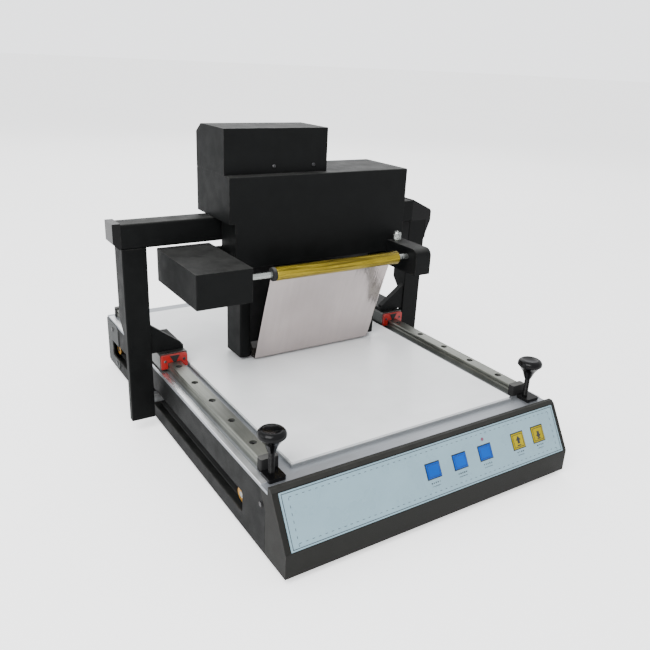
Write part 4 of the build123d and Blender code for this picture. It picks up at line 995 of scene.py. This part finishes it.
class STAMPER_OT_stage(bpy.types.Operator):
    """Set the floor, the soft lights and the camera"""
    bl_idname = "stamper.stage"
    bl_label = "Stage"

    def execute(self, context):
        scene = context.scene
        points, faces = blocks([(0, 0, -FLOOR_HALF_DEPTH)], [(FLOOR_HALF, FLOOR_HALF, FLOOR_HALF_DEPTH)])
        mesh = bpy.data.meshes.new("floor")
        mesh.from_pydata(points.tolist(), [], faces)
        paint = surface("floor_paint", (0.96, 0.96, 0.96), 0.9, grain=40, mottle=0.01, specular=0.1)
        glow = paint.node_tree.nodes["Principled BSDF"]
        glow.inputs["Emission Color"].default_value = (1, 1, 1, 1)
        direct = add_node(paint.node_tree, "ShaderNodeLightPath").outputs["Is Camera Ray"]
        paint.node_tree.links.new(maths(paint.node_tree, "MULTIPLY", direct, FLOOR_GLOW),
                                  glow.inputs["Emission Strength"])
        mesh.materials.append(paint)
        floor = bpy.data.objects.new("floor", mesh)
        scene.collection.objects.link(floor)
        for name, place, aim, size, power in LAMPS:
            light = bpy.data.lights.new(name, "AREA")
            light.energy = power
            light.size = size
            lamp = bpy.data.objects.new(name, light)
            scene.collection.objects.link(lamp)
            back = np.array(place, dtype=float) - np.array(aim)
            back /= np.linalg.norm(back)
            right = np.cross([0, 0, 1], back)
            right /= np.linalg.norm(right)
            up = np.cross(back, right)
            lamp.matrix_world = placed(right, up, back, place)
        world = bpy.data.worlds.new("studio")
        world.use_nodes = True
        sky = world.node_tree.nodes["Background"]
        sky.inputs["Color"].default_value = (0.97, 0.98, 1.0, 1)
        seen = add_node(world.node_tree, "ShaderNodeLightPath").outputs["Is Camera Ray"]
        world.node_tree.links.new(remap(world.node_tree, seen, 0.0, 1.0, SKY_LIGHT, SKY_SEEN, "LINEAR"),
                                  sky.inputs["Strength"])
        scene.world = world

        cos_up, sin_up = math.cos(CAMERA_ELEVATION), math.sin(CAMERA_ELEVATION)
        ahead = np.array([math.sin(CAMERA_AZIMUTH) * cos_up, math.cos(CAMERA_AZIMUTH) * cos_up, -sin_up])
        level = np.array([math.cos(CAMERA_AZIMUTH), -math.sin(CAMERA_AZIMUTH), 0])
        above = np.cross(level, ahead)
        right = level * math.cos(CAMERA_ROLL) + above * math.sin(CAMERA_ROLL)
        up = above * math.cos(CAMERA_ROLL) - level * math.sin(CAMERA_ROLL)
        camera_data = bpy.data.cameras.new("camera")
        camera_data.lens = CAMERA_LENS
        camera_data.sensor_width = 36
        camera = bpy.data.objects.new("camera", camera_data)
        scene.collection.objects.link(camera)
        camera.matrix_world = placed(right, up, -ahead, CAMERA_PLACE)
        scene.camera = camera
        return {"FINISHED"}


PIECES = (STAMPER_OT_finishes, STAMPER_OT_knobs, STAMPER_OT_foil_roll, STAMPER_OT_collar,
          STAMPER_OT_socket_shell, STAMPER_OT_film, STAMPER_OT_belts,
          STAMPER_OT_screws, STAMPER_OT_panel_print, STAMPER_OT_key_marks, STAMPER_OT_wipers,
          STAMPER_OT_stage)


class STAMPER_PT_sidebar(bpy.types.Panel):
    """Sizes, colours and pieces of the foil stamper"""
    bl_idname = "STAMPER_PT_sidebar"
    bl_label = "Foil stamper"
    bl_space_type = "VIEW_3D"
    bl_region_type = "UI"
    bl_category = "Foil stamper"

    def draw(self, context):
        for group in (context.scene.stamper_sizes, context.scene.stamper_colours):
            box = self.layout.box()
            for name in group.__annotations__:
                box.prop(group, name)
        for piece in PIECES:
            self.layout.operator(piece.bl_idname)


CLASSES = (StamperSizes, StamperColours) + PIECES + (STAMPER_PT_sidebar,)


def register():
    """Registers the classes and hangs the two groups of settings on the scene."""
    for item in CLASSES:
        bpy.utils.register_class(item)
    bpy.types.Scene.stamper_sizes = PointerProperty(type=StamperSizes)
    bpy.types.Scene.stamper_colours = PointerProperty(type=StamperColours)


def unregister():
    """Takes away what register added, in reverse."""
    del bpy.types.Scene.stamper_colours
    del bpy.types.Scene.stamper_sizes
    for item in reversed(CLASSES):
        bpy.utils.unregister_class(item)


def main():
    """Registers the add-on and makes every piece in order."""
    register()
    for piece in PIECES:
        group, name = piece.bl_idname.split(".")
        getattr(getattr(bpy.ops, group), name)()


if __name__ == "__main__":
    main()
